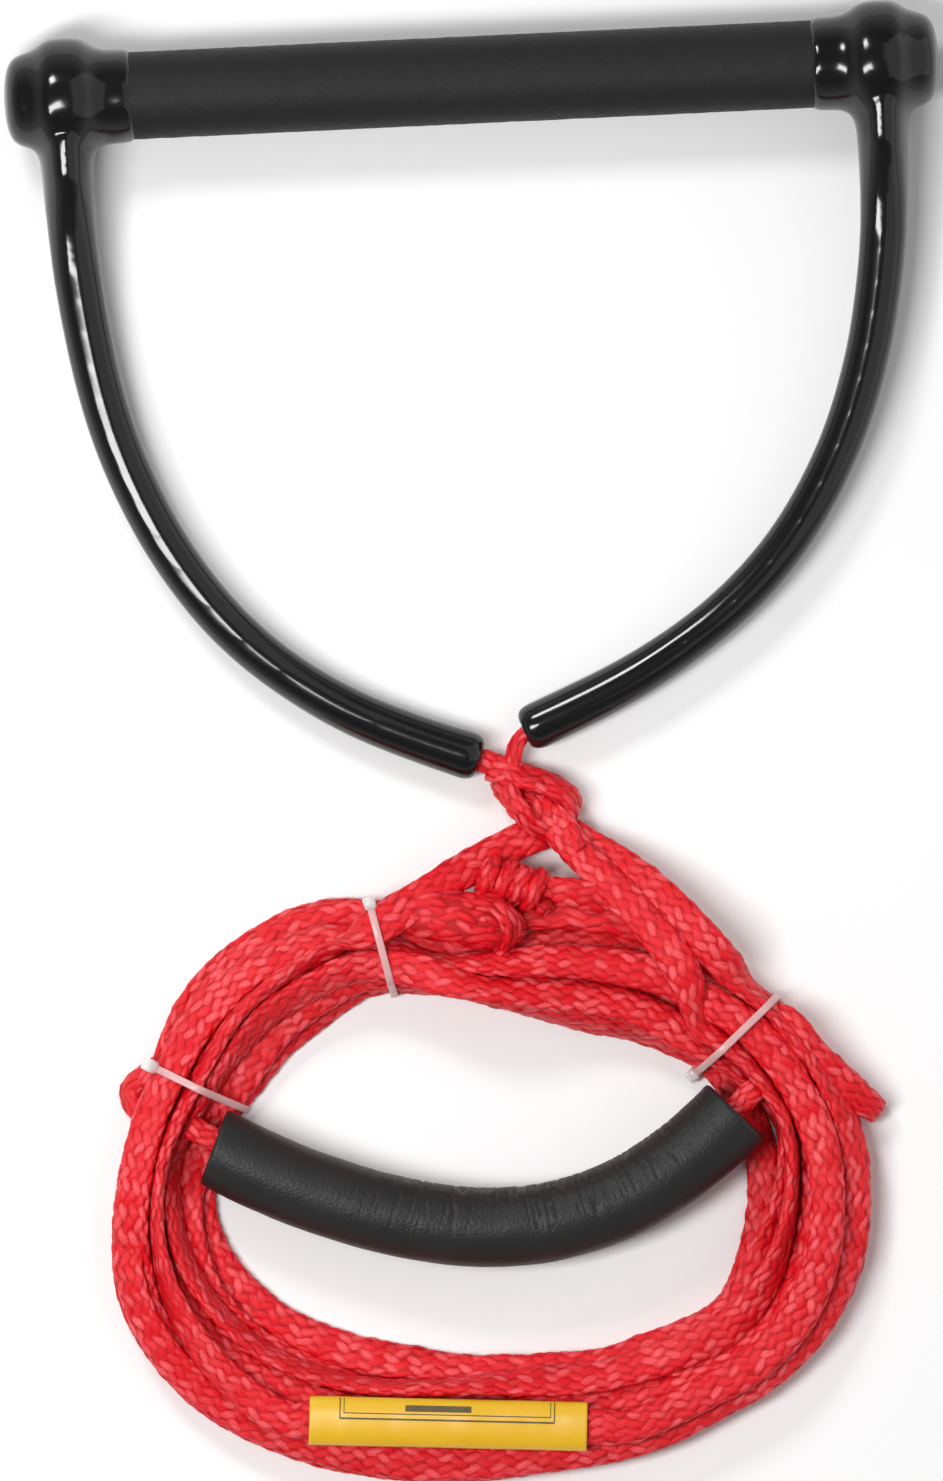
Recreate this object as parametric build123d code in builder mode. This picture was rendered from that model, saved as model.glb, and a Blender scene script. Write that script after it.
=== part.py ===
from build123d import *
import os
from math import cos, pi, radians, sin, tan

# Wakesurf tow rope handle, laid flat on a floor with its rope tied up in a coil.
# Frame: +X along the handle bar, +Y from the coil towards the bar, +Z up, millimetres.
# The origin is the middle of the handle's footprint, on the floor.

# ---- driving dimensions ----
BAR_LENGTH = 305.0  # over the two rubber end boots, a 12 inch handle
BAR_Y = 104.0  # the bar's axis
BAR_Z = 19.6
HANDLE_TILT = 2.9  # degrees: the handle slopes down from the boots to the bridle tips

GRIP_DIAMETER = 28.5
GRIP_HALF = 118.0  # half of the foam grip's length; its ends go under the boot collars
TUBE_DIAMETER = 22.0
TUBE_BORE = 19.0
TUBE_HALF = 144.0
PLUG_DIAMETER = 18.98
PLUG_DEPTH = 16.0
PLUG_FLANGE = 24.0
PLUG_FLANGE_THICK = 3.0
PLUG_HOLE = 8.0

EYE_X = 133.0  # where the rope's eye goes round the tube
ROPE = 6.0  # the bridle rope, inside the sleeves
EYE_GAP = 0.05  # between the eye and the tube
EYE_RADIUS = TUBE_DIAMETER / 2 + ROPE / 2 + EYE_GAP

COLLAR_X = 110.5  # the boot's inner edge, on the grip
COLLAR_RADIUS = 15.5
BULGE_RADIUS = 19.6
BULGE_WIDTH = 17.0
BULGE_ROUND = 3.5
CAP_RADIUS = 15.0
CAP_ROUND = 5.0
GROOVE_GAP = 0.1  # round the rope's eye, inside the boot
GROOVE_SIDE_GAP = 0.3
PAST = 1.0  # how far a cutting solid runs past what it cuts

SLEEVE_DIAMETER = 15.5  # the rubber-dipped bridle legs
SLEEVE_BORE = ROPE + 0.4
SLEEVE_START = -12.0  # inside the boot, where the boot's outside cuts it off
SLEEVE_TIP_ROUND = 4.0

# Bridle routes in the handle's own sloping plane: X, and the distance from the bar's axis.
LEFT_LEG = [
    (-133, SLEEVE_START), (-132.7, -44), (-129.8, -72), (-124.9, -100.5), (-117, -125.5),
    (-104.3, -152), (-85.7, -177.2), (-61.5, -197.2), (-34, -212), (-7, -221.8),
]
RIGHT_LEG = [
    (133, SLEEVE_START), (133.2, -44), (130.4, -70), (125, -97), (115.2, -124.8),
    (99.2, -152.5), (79, -174.4), (53.2, -192.3), (29, -204.6), (6.8, -213.4),
]
# From each tip, the bare rope runs on to the fold line, where it meets the knot.
LEFT_TAIL = [(-2.5, -223.6)]
RIGHT_TAIL = [(2.9, -215), (3.9, -223.6)]

KNOT_CENTRE = (13.0, -138.0)
KNOT_SIZE = (32.0, 20.0, 19.0)
KNOT_TURN = -35.0
KNOT_ROUND = 9.0

# The coil, about ten turns of flat braided rope, as one ring of their outer shape.
COIL_HEIGHT = 24.0
COIL_ROUND = 5.0
COIL_OUTSIDE = [
    (-135, -270), (-127.5, -225), (-107, -184), (-68, -158), (-42, -164), (-16, -177),
    (20, -172), (60, -175), (93, -208), (119, -250), (116, -292), (84, -328), (36, -350),
    (-20, -354.5), (-78, -345), (-118, -321), (-134.5, -298),
]
COIL_INSIDE = [
    (-103.5, -258), (-95, -227), (-70, -207), (-40, -191.5), (-18, -192), (30, -208),
    (60, -216), (73, -238), (73, -276), (62, -300), (20, -312.5), (-25, -312.5),
    (-68, -299.5), (-98, -279),
]

# Rope between the knots and the coil: a flat braid, so each tube is its mean thickness.
LEAD = 9.0
LEAD_Z = 12.0
LEAD_LEFT = [(7, -145), (-9.5, -150), (-26, -158), (-42.5, -168.5), (-57, -180.5)]
LEAD_RIGHT_OUTER = [(20, -138), (37.5, -148), (55, -163.5), (68.5, -182), (78.5, -199.5)]
LEAD_RIGHT_INNER = [(12, -142.5), (26, -156), (41, -170), (54, -188), (64.5, -206)]
BIGHT_RIGHT = [(88, -204), (106, -219.5), (118, -234), (109, -248)]
TAIL_LEFT = [(-112, -206), (-125, -217), (-122, -234)]
FOLD_BEND = 9.0  # the bend of the bight and of the tail, folded over by hand

KNOT_A_CENTRE = (11.7, -159.3)
KNOT_A_SIZE = (13.0, 15.0, 14.0)
KNOT_B_CENTRE = (-11.5, -171.0)
KNOT_B_SIZE = (33.0, 15.0, 15.0)
KNOT_B_TURN = -8.0
TAKEOFF_ROUND = 5.5
TAKEOFF_TOP = 26.0

FLOAT_DIAMETER = 26.0
FLOAT_BORE = 10.0
FLOAT_Z = 19.0  # its ends lie on the coil's lowest turns
FLOAT_CENTRE = (-15.9, -141.4)  # the centre of the arc that the float is bent to
FLOAT_ARC_RADIUS = 128.9
FLOAT_HALF_ANGLE = 41.6
FLOAT_TURN = 0.9  # degrees, the middle of the float from straight below its arc's centre
FLOAT_STRAND = 8.0
FLOAT_SLIDE = 1.5  # degrees each way along its arc
FLOAT_END_ROOM = 0.4  # degrees more than it slides
FLOAT_CLEAR = 0.6
STRAND_HALF_ANGLE = FLOAT_HALF_ANGLE + FLOAT_SLIDE + FLOAT_END_ROOM

WARNING_CENTRE = (-28.0, -333.1)
WARNING_TURN = -4.0
WARNING_SIZE = (90.5, 16.0, 8.0)
WARNING_WALL = 1.0
WARNING_Z = 20.0
WARNING_SLIDE = 8.0
WARNING_CLEAR = 0.6
WARNING_STRAND = (11.5, 5.0)

TIE_WIDTH = 2.4
TIE_THICK = 1.2
TIE_HEAD = (5.2, 4.2, 5.0)
TIE_HEAD_BITE = 0.2  # how far the head runs into the band
# Name, middle of the tied bundle, angle across the bundle, and width across.
TIES = [
    ("cable_tie_left", (-107.1, -218.7), -28.2, 33.0),
    ("cable_tie_top", (-41.5, -181.9), -78.0, 19.5),
    ("cable_tie_right", (73.1, -210.1), 41.2, 32.0),
]

HANDLE = Plane(
    origin=(0, BAR_Y, BAR_Z),
    x_dir=(1, 0, 0),
    z_dir=(0, -sin(radians(HANDLE_TILT)), cos(radians(HANDLE_TILT))),
)
LEFT = -1
RIGHT = 1


def bend_radii(points, closed=False):
    """The largest even radius at each corner: 0.45 of the shorter run over tan(turn / 2)."""
    count = len(points)
    corners = range(count) if closed else range(1, count - 1)
    radii = []
    for i in corners:
        before = Vector(*points[i]) - Vector(*points[i - 1])
        after = Vector(*points[(i + 1) % count]) - Vector(*points[i])
        turn = radians(before.get_angle(after))
        radii.append(0.45 * min(before.length, after.length) / tan(turn / 2))
    return radii


def route(plane, points, radii=None):
    """A cord's path: straight runs joined by tangent arcs, in a plane."""
    with BuildLine(plane) as line:
        FilletPolyline(*points, radius=radii or bend_radii(points))
    return line.wires()[0]


def start_of(path):
    return Plane(origin=path @ 0, z_dir=path % 0)


def sweep_round(path, diameter, bore=0.0):
    """A round tube or rod along a path."""
    with BuildPart() as tube:
        with BuildSketch(start_of(path)):
            Circle(diameter / 2)
            if bore:
                Circle(bore / 2, mode=Mode.SUBTRACT)
        sweep(path=path)
    return tube.part


def say_radii(name, radii, path, solid, diameter, bore=0.0):
    """Prints a cord's radii, and its volume against its section times its length."""
    swept = pi * (diameter**2 - bore**2) / 4 * path.length
    print(f"{name}: length {path.length:.1f}, radii {[round(r) for r in radii]}")
    print(f"{name}: volume over section times length {solid.volume / swept:.4f}")


def lump(plane, size, rounding):
    """A closed block with round edges, the outer shape of a pulled-up knot."""
    with BuildPart(plane) as block:
        Box(*size)
        fillet(block.edges(), rounding)
    return block.part


def save(part, name):
    part.label = name
    export_step(part, f"parts/{name}.step")


os.makedirs("parts", exist_ok=True)

# ---- the bar ----
with BuildPart() as bar_tube:
    with BuildSketch(Plane.YZ.offset(-TUBE_HALF)):
        with Locations((BAR_Y, BAR_Z)):
            Circle(TUBE_DIAMETER / 2)
            Circle(TUBE_BORE / 2, mode=Mode.SUBTRACT)
    extrude(amount=2 * TUBE_HALF)
save(bar_tube.part, "bar_tube")

with BuildPart() as grip_foam:
    with BuildSketch(Plane.YZ.offset(-GRIP_HALF)):
        with Locations((BAR_Y, BAR_Z)):
            Circle(GRIP_DIAMETER / 2)
            Circle(TUBE_DIAMETER / 2, mode=Mode.SUBTRACT)
    extrude(amount=2 * GRIP_HALF)
save(grip_foam.part, "grip_foam")


def end_plug(side):
    """A flanged plug pushed into one end of the tube."""
    with BuildPart() as plug:
        with BuildSketch(Plane.YZ.offset(side * (TUBE_HALF - PLUG_DEPTH))):
            with Locations((BAR_Y, BAR_Z)):
                Circle(PLUG_DIAMETER / 2)
                Circle(PLUG_HOLE / 2, mode=Mode.SUBTRACT)
        extrude(amount=side * PLUG_DEPTH)
        with BuildSketch(Plane.YZ.offset(side * TUBE_HALF)):
            with Locations((BAR_Y, BAR_Z)):
                Circle(PLUG_FLANGE / 2)
        extrude(amount=side * PLUG_FLANGE_THICK)
    return plug.part


def boot_body(side):
    """The boot's outside as a solid: cap, bulge over the rope's eye, neck and collar."""
    cap_end = BAR_LENGTH / 2
    bulge_in = EYE_X - BULGE_WIDTH / 2
    bulge_out = EYE_X + BULGE_WIDTH / 2
    profile = [
        (COLLAR_X, 0), (COLLAR_X, COLLAR_RADIUS), (bulge_in, COLLAR_RADIUS),
        (bulge_in, BULGE_RADIUS), (bulge_out, BULGE_RADIUS), (bulge_out, CAP_RADIUS),
        (cap_end, CAP_RADIUS), (cap_end, 0),
    ]
    with BuildPart() as body:
        with BuildSketch(Plane.XY.offset(BAR_Z)) as outline:
            with BuildLine():
                Polyline(*[(side * x, BAR_Y + radius) for x, radius in profile], close=True)
            make_face()
            fillet(outline.vertices().group_by(Axis.Y)[-1], BULGE_ROUND)
            cap_corner = outline.vertices().group_by(Axis.X)[-1 if side == RIGHT else 0]
            fillet(cap_corner.sort_by(Axis.Y)[-1], CAP_ROUND)
        revolve(axis=Axis((0, BAR_Y, BAR_Z), (1, 0, 0)))
    return body.part


def hollow(side):
    """What fills the boot: tube, plug flange, grip end, and the groove for the rope's eye."""
    groove_half = ROPE / 2 + GROOVE_SIDE_GAP
    steps = [
        (COLLAR_X - PAST, GRIP_HALF, GRIP_DIAMETER / 2),
        (COLLAR_X - PAST, TUBE_HALF, TUBE_DIAMETER / 2),
        (TUBE_HALF, TUBE_HALF + PLUG_FLANGE_THICK, PLUG_FLANGE / 2),
        (EYE_X - groove_half, EYE_X + groove_half, EYE_RADIUS + ROPE / 2 + GROOVE_GAP),
    ]
    with BuildPart() as filling:
        for inner, outer, radius in steps:
            with BuildSketch(Plane.YZ.offset(side * inner)):
                with Locations((BAR_Y, BAR_Z)):
                    Circle(radius)
            extrude(amount=side * (outer - inner))
        with BuildSketch(Plane(origin=HANDLE.origin, x_dir=HANDLE.x_dir, z_dir=-HANDLE.y_dir)):
            with Locations((side * EYE_X, 0)):
                Circle(ROPE / 2 + GROOVE_GAP)
        extrude(amount=BULGE_RADIUS + PAST)
    return filling.part


# ---- each end of the bar, and its bridle leg ----
LEGS = [
    ("left", LEFT, LEFT_LEG, LEFT_TAIL),
    ("right", RIGHT, RIGHT_LEG, RIGHT_TAIL),
]
for name, side, leg, tail in LEGS:
    save(end_plug(side), f"end_plug_{name}")
    body = boot_body(side)
    save(body - hollow(side), f"end_boot_{name}")

    sleeve_path = route(HANDLE, leg)
    with BuildPart() as sleeve:
        with BuildSketch(start_of(sleeve_path)):
            Circle(SLEEVE_DIAMETER / 2)
        sweep(path=sleeve_path)
        tip = sleeve.faces().filter_by(GeomType.PLANE).sort_by(Axis.Y)[0]
        fillet(tip.edges(), SLEEVE_TIP_ROUND)
        with BuildSketch(start_of(sleeve_path)):
            Circle(SLEEVE_BORE / 2)
        sweep(path=sleeve_path, mode=Mode.SUBTRACT)
        add(body, mode=Mode.SUBTRACT)
    sleeve_name = f"bridle_sleeve_{name}"
    say_radii(sleeve_name, bend_radii(leg), sleeve_path, sleeve.part, SLEEVE_DIAMETER, SLEEVE_BORE)
    save(sleeve.part, sleeve_name)

    rope_points = leg[:-1] + tail
    rope_radii = bend_radii(rope_points)
    rope_path = route(HANDLE, rope_points, rope_radii)
    with BuildPart() as rope:
        with BuildSketch(start_of(rope_path)):
            Circle(ROPE / 2)
        sweep(path=rope_path)
        with Locations(Location(rope_path @ 1)):
            Sphere(ROPE / 2)
        with BuildSketch(Plane.XY.offset(BAR_Z)):
            with Locations((side * EYE_X, BAR_Y + EYE_RADIUS)):
                Circle(ROPE / 2)
        revolve(axis=Axis((0, BAR_Y, BAR_Z), (1, 0, 0)))
    say_radii(f"bridle_rope_{name}", rope_radii, rope_path, rope.part, ROPE)
    save(rope.part, f"bridle_rope_{name}")

# ---- the knot that joins both bridle ends to the tow line ----
knot_plane = Plane(
    origin=(*KNOT_CENTRE, KNOT_SIZE[2] / 2), x_dir=(cos(radians(KNOT_TURN)), sin(radians(KNOT_TURN)), 0)
)
bridle_knot = lump(knot_plane, KNOT_SIZE, KNOT_ROUND)
save(bridle_knot, "bridle_knot")

# ---- the float on its strand, across the coil's opening ----


def float_arc(half_angle):
    """An arc along the float's middle line, at its height."""
    start = -90 + FLOAT_TURN - half_angle
    with BuildLine(Plane.XY.offset(FLOAT_Z)) as line:
        CenterArc(FLOAT_CENTRE, FLOAT_ARC_RADIUS, start, 2 * half_angle)
    return line.wires()[0]


save(sweep_round(float_arc(FLOAT_HALF_ANGLE), FLOAT_DIAMETER, FLOAT_BORE), "float_foam")
float_room = sweep_round(
    float_arc(STRAND_HALF_ANGLE), FLOAT_DIAMETER + 2 * FLOAT_CLEAR
)
float_strand = sweep_round(float_arc(STRAND_HALF_ANGLE), FLOAT_STRAND)
save(float_strand, "float_strand")

# ---- the warning sleeve on its strand ----
warning_plane = Plane(
    origin=(*WARNING_CENTRE, WARNING_Z), x_dir=(cos(radians(WARNING_TURN)), sin(radians(WARNING_TURN)), 0)
)


def flat_tube(length, width, thick):
    """A rod of flattened round section along the warning sleeve's axis."""
    across = Plane(origin=warning_plane.origin, x_dir=warning_plane.y_dir, z_dir=warning_plane.x_dir)
    with BuildPart() as rod:
        with BuildSketch(across):
            SlotOverall(width, thick)
        extrude(amount=length / 2, both=True)
    return rod.part


length, width, thick = WARNING_SIZE
room_length = length + 2 * WARNING_SLIDE + PAST
bore_width = width - 2 * WARNING_WALL
bore_thick = thick - 2 * WARNING_WALL
save(
    flat_tube(length, width, thick) - flat_tube(length + PAST, bore_width, bore_thick),
    "warning_sleeve",
)
save(flat_tube(room_length, *WARNING_STRAND), "sleeve_strand")
with BuildPart(warning_plane) as warning_room:
    Box(room_length, width + 2 * WARNING_CLEAR, 2 * (thick / 2 + WARNING_CLEAR))
    Box(
        room_length, width + 2 * WARNING_CLEAR, COIL_HEIGHT,
        align=(Align.CENTER, Align.CENTER, Align.MIN),
    )

# ---- the cable ties round the coil ----


def tie_plane(middle, angle):
    """A plane across the bundle, with its X across and its Y up."""
    across = Vector(cos(radians(angle)), sin(radians(angle)), 0)
    return Plane(origin=(*middle, COIL_HEIGHT / 2), x_dir=across, z_dir=across.cross(Vector(0, 0, 1)))


ties = []
for name, middle, angle, width in TIES:
    head_x = -(width / 2 + TIE_HEAD[0] / 2 - TIE_HEAD_BITE)
    with BuildPart() as tie:
        with BuildSketch(tie_plane(middle, angle)):
            RectangleRounded(width, COIL_HEIGHT, COIL_ROUND)
            RectangleRounded(
                width - 2 * TIE_THICK, COIL_HEIGHT - 2 * TIE_THICK, COIL_ROUND - TIE_THICK,
                mode=Mode.SUBTRACT,
            )
        extrude(amount=TIE_WIDTH / 2, both=True)
        with BuildSketch(tie_plane(middle, angle)):
            with Locations((head_x, COIL_HEIGHT / 2 - COIL_ROUND - TIE_HEAD[2] / 2)):
                Rectangle(TIE_HEAD[0], TIE_HEAD[2])
        extrude(amount=TIE_HEAD[1] / 2, both=True)
    ties.append(tie.part)
    save(tie.part, name)

# ---- the takeoff knots ----
TAKEOFFS = [
    ("takeoff_knot_a", KNOT_A_CENTRE, KNOT_A_SIZE, 0),
    ("takeoff_knot_b", KNOT_B_CENTRE, KNOT_B_SIZE, KNOT_B_TURN),
]
takeoff_knots = []
for name, centre, size, turn in TAKEOFFS:
    plane = Plane(
        origin=(*centre, TAKEOFF_TOP - size[2] / 2), x_dir=(cos(radians(turn)), sin(radians(turn)), 0)
    )
    takeoff_knots.append(lump(plane, size, TAKEOFF_ROUND))
    save(takeoff_knots[-1], name)

# ---- the coil, with room for the float, the warning sleeve, the ties and the knots ----
with BuildPart() as coil:
    with BuildSketch():
        with BuildLine():
            FilletPolyline(*COIL_OUTSIDE, radius=bend_radii(COIL_OUTSIDE, True), close=True)
        make_face()
        with BuildLine():
            FilletPolyline(*COIL_INSIDE, radius=bend_radii(COIL_INSIDE, True), close=True)
        make_face(mode=Mode.SUBTRACT)
    extrude(amount=COIL_HEIGHT)
    rims = coil.faces().filter_by(Axis.Z).edges()
    fillet(rims, COIL_ROUND)
    add(float_room, mode=Mode.SUBTRACT)
    add(warning_room.part, mode=Mode.SUBTRACT)
    add(ties, mode=Mode.SUBTRACT)
    add(takeoff_knots, mode=Mode.SUBTRACT)
save(coil.part, "coil_bundle")

# ---- the rope between the knots and the coil, the bight and the tail ----
STRANDS = [
    ("lead_left", LEAD_LEFT, None),
    ("lead_right_outer", LEAD_RIGHT_OUTER, None),
    ("lead_right_inner", LEAD_RIGHT_INNER, None),
    ("end_loop_right", BIGHT_RIGHT, FOLD_BEND),
    ("rope_tail_left", TAIL_LEFT, FOLD_BEND),
]
for name, points, bend in STRANDS:
    radii = [min(r, bend or r) for r in bend_radii(points)]
    path = route(Plane.XY.offset(LEAD_Z), points, radii)
    with BuildPart() as strand:
        add(sweep_round(path, LEAD))
        say_radii(name, radii, path, strand.part, LEAD)
        add(coil.part, mode=Mode.SUBTRACT)
        add(bridle_knot, mode=Mode.SUBTRACT)
        add(takeoff_knots, mode=Mode.SUBTRACT)
        add(ties, mode=Mode.SUBTRACT)
    save(strand.part, name)
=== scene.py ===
"""Looks of the tow rope handle: dipped handle, braided tow line tied up in a coil, float and sleeve."""
import math

import bpy
import numpy as np
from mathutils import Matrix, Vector, noise


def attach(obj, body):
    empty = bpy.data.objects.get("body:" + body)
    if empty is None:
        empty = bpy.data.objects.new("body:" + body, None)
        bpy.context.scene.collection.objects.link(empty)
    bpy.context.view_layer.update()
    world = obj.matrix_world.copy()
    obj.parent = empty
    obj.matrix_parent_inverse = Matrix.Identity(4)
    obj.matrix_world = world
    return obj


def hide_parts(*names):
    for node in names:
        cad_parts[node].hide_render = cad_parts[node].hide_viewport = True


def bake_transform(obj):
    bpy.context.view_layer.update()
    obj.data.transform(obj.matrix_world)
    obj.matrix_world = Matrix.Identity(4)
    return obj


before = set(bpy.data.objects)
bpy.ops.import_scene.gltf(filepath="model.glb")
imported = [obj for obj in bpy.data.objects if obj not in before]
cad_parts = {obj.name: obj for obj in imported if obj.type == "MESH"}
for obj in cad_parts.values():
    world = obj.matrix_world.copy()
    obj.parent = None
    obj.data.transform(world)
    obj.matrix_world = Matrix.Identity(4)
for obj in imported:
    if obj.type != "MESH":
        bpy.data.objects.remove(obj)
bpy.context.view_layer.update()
MM = 0.001

# ---- driving sizes, in millimetres ----
BAR_Y = 104.0
BAR_Z = 19.6
HANDLE_TILT = math.radians(2.9)
GRIP_RADIUS = 14.25
GRIP_HALF = 118.0

# The tow line is a hollow braid, pressed flat.
ROPE_HALF_WIDTH = 6.15
ROPE_HALF_THICK = 2.45
SECTION_POWER = 2.5  # of the superellipse that is the rope's section
BRAID_AROUND = 8  # stitches of one hand around the rope, half of its 16 strands
BRAID_ROW = 4.1  # from one row of stitches to the next
BRAID_ANGLE = math.radians(24)
STITCH_LENGTH = 10.0
STITCH_WIDTH = 4.7
STITCH_RELIEF = 0.7  # how far a stitch stands out of the core
STITCH_SUNK = 0.35  # how far its ends lie under the core's surface
STITCH_ROLL = 0.11  # how far a stitch leans to one side
STITCH_ALONG = 7
STITCH_ACROSS = 5
STITCHES_IN_PIECE = 3600
PATH_STEP = 1.6

# The coil: its outline, as in the CAD model, and the stations that its turns pass.
COIL_CENTRE = (-7.5, -255.0)
COIL_OUTSIDE = [
    (-136, -270), (-130.5, -236), (-120.5, -213), (-111, -181), (-71, -153.5), (-42, -161), (-16, -177),
    (20, -172), (60, -175), (94, -207), (120.5, -250), (116, -292), (83, -327), (36, -349),
    (-20, -354.5), (-84, -351), (-126, -328), (-138, -298),
]
COIL_INSIDE = [
    (-102.5, -256), (-92.5, -230.5), (-67.5, -210), (-40, -194), (-18, -195.5), (30, -212.5),
    (60, -220.5), (68.5, -240), (68.5, -272), (63.5, -299.5), (20, -311.5), (-25, -310.5),
    (-63, -295), (-96, -275),
]
STATION_STEP = 5
STATIONS = 360 // STATION_STEP
FLAT_PART = 2 * (ROPE_HALF_WIDTH - ROPE_HALF_THICK)
# How the turns settle: rounds, and for each round how far a rope straightens, how far it sinks, and
# how much of an overlap two ropes give up.
RELAX_ROUNDS = 420
STRAIGHTENING = 0.45
SINKING = 0.05
GIVING_WAY = 0.3
COIL_INSIDE_MARGIN = 0.6
COIL_OUTSIDE_MARGIN = 0.8
COIL_SPREAD = 0.75  # share of the coil's width over which the turns start
COIL_LOWEST = 3  # of the heights at which the turns start
COIL_RISE = 18
COIL_TOP = 40
FAR_AWAY = 200.0
# The highest that rope may lie under the float, the sleeve and the knots.
UNDER_FLOAT = 5.4
UNDER_SLEEVE = 15.0
UNDER_KNOTS = 12.0
NO_FLOAT_STATIONS = (8, 28)  # the side of the coil away from the float
KNOT_ANGLES = (81, 108)
KNOT_REACH = 76  # from the coil's centre
SLEEVE_MARGIN = 0.6  # between the sleeve and the turns beside it
SLEEVE_STRAIGHT = 6  # how far past the sleeve's slide its strand stays in line

# Rope between the knots and the coil: X, Y and height.
LEAD_LEFT = [(12, -141.5, 7), (4, -144.5, 8.5), (-9.5, -150.5, 14), (-25.5, -159.5, 20), (-42, -169.5, 24)]
LEAD_RIGHT_OUTER = [(67, -184.5, 24), (52.5, -167.5, 20), (36.5, -153, 14), (25.5, -147, 9.5), (17, -140, 7)]
LEAD_RIGHT_INNER = [(15, -135.5, 12), (18.5, -143.5, 13), (29, -156, 16), (43, -171, 21), (56, -188.5, 25)]
BIGHT_RIGHT = [
    (87, -205.5, 17), (94, -216, 16.5), (101.5, -225, 14.5), (109, -232, 12), (115.6, -237.4, 10),
    (117.8, -239.2, 6.5), (115.6, -237.4, 3.2), (108, -231, 2.7), (100, -223, 2.7),
]
# The rope narrows a little where it is folded back.
BIGHT_TAPER = ((0, 1), (0.983, 1), (0.9895, 0.7), (0.996, 1), (1, 1))
TAIL_FOLD = [
    (-108, -208, 8), (-117, -212.5, 7.5), (-124, -216.5, 7), (-127.5, -220.5, 6), (-126, -226, 5),
    (-120, -233, 4.5), (-114, -240, 4.5),
]

FLOAT_RADIUS = 13.0
FLOAT_BORE = 5.0
FLOAT_CREASE = 1.1
FLOAT_Z = 19.0
FLOAT_CENTRE = (-15.9, -141.4)
FLOAT_ARC_RADIUS = 128.9
FLOAT_HALF_ANGLE = math.radians(41.6)
FLOAT_TURN = math.radians(0.9)
FLOAT_SWAY = [  # how far the foam lies outside that arc, by angle from its middle in degrees
    (-42, 0.4), (-33, -2.2), (-23, -3.5), (-12, -2.8), (0, -0.4), (10, 1.2), (20, 1.5), (31, 0.2),
    (42, -0.9),
]
FLOAT_CUT = math.radians(9)  # how far the cut of its left end is out of square
FLOAT_SLIDE = math.radians(1.5)
FLOAT_END_GAP = math.radians(1.6)  # left between the float's ends and the turns when it has slid
FLOAT_SIDE_GAP = 2.0
FLOAT_END_ROUNDING = 1.2

WARNING_CENTRE = (-28.0, -333.1)
WARNING_TURN = math.radians(-4)
WARNING_SIZE = (90.5, 16.0, 8.0)
WARNING_Z = 20.0
WARNING_SLIDE = 8.0

# Each tie: its name, its angle from the coil's centre, its place, the direction of its loop, how far the
# loop may reach from its place, and the angle in the loop at which its head is.
TIES = [
    ("cable_tie_left", 160, (-107.1, -218.7), -28.2, 22, 150),
    ("cable_tie_top", 115, (-41.5, -181.9), -78.0, 12, 170),
    ("cable_tie_right", 30, (73.1, -210.1), 41.2, 22, 200),
]
TIED_HEIGHT = 24
TOP_TIE_REACH = 90.3  # of the outermost rope in the top tie, from the coil's centre
TOP_TIE_ROPES = 6
TIE_HALF_WIDTH = 1.2
TIE_SECTION = ((-1, 0.0), (-1, 0.9), (-0.8, 1.05), (0.8, 1.05), (1, 0.9), (1, 0.0))
TIE_HEAD = (2.1, 2.5, 1.9)  # half its size along the rope, along the strap and outwards
TIE_HEAD_OUT = 2.2
TIE_HEAD_RINGS = ((-1.0, 0.78), (-0.86, 1.0), (0.86, 1.0), (1.0, 0.78))
TIE_HEAD_AROUND = 20
TIE_HEAD_LOWEST = 0.2


# ---- small helpers ----
def add_mesh(name, vertices, faces, smooth=True):
    """A mesh object from points in millimetres."""
    mesh = bpy.data.meshes.new(name)
    mesh.from_pydata((np.asarray(vertices) * MM).tolist(), [], faces)
    mesh.polygons.foreach_set("use_smooth", [smooth] * len(mesh.polygons))
    mesh.update()
    obj = bpy.data.objects.new(name, mesh)
    bpy.context.collection.objects.link(obj)
    return obj


def grid_faces(rings, around, closed_rings=False):
    """Quads between rings of points; each ring is closed, and so is their row if asked."""
    last = rings if closed_rings else rings - 1
    ring, spoke = np.meshgrid(np.arange(last), np.arange(around), indexing="ij")
    here = ring * around + spoke
    beside = ring * around + (spoke + 1) % around
    there = (ring + 1) % rings * around + spoke
    across = (ring + 1) % rings * around + (spoke + 1) % around
    return np.stack([here, beside, across, there], axis=-1).reshape(-1, 4).tolist()


def tube_faces(rings, around):
    """A tube's quads, and a fan on a middle point at each end; those two points come last."""
    faces = grid_faces(rings, around)
    first, last = rings * around, rings * around + 1
    end = (rings - 1) * around
    faces += [(first, (k + 1) % around, k) for k in range(around)]
    faces += [(last, end + k, end + (k + 1) % around) for k in range(around)]
    return faces


def unit(vectors):
    return vectors / np.linalg.norm(vectors, axis=-1, keepdims=True)


def read_along(where, along, vectors):
    """Vectors read at distances along a row of them."""
    return np.stack([np.interp(where, along, vectors[:, k]) for k in range(3)], axis=-1)


def squared_circle(angle, power):
    """A point on a unit circle that is drawn out towards a square."""
    x, y = math.cos(angle), math.sin(angle)
    return math.copysign(abs(x) ** power, x), math.copysign(abs(y) ** power, y)


def loop_slope(values):
    """How fast the numbers round a closed loop change."""
    return np.gradient(np.append(values, values[0]))[:-1]


def wave(seed, t):
    """A smooth random wave, about one swing for each unit of t, between about -1 and 1."""
    rng = np.random.default_rng(seed)
    total = np.zeros_like(t)
    for pace in (0.45, 0.8, 1.3, 2.1):
        total += np.sin(2 * np.pi * pace * t + rng.uniform(0, 2 * np.pi)) / (1 + pace)
    return total / 1.3


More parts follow.
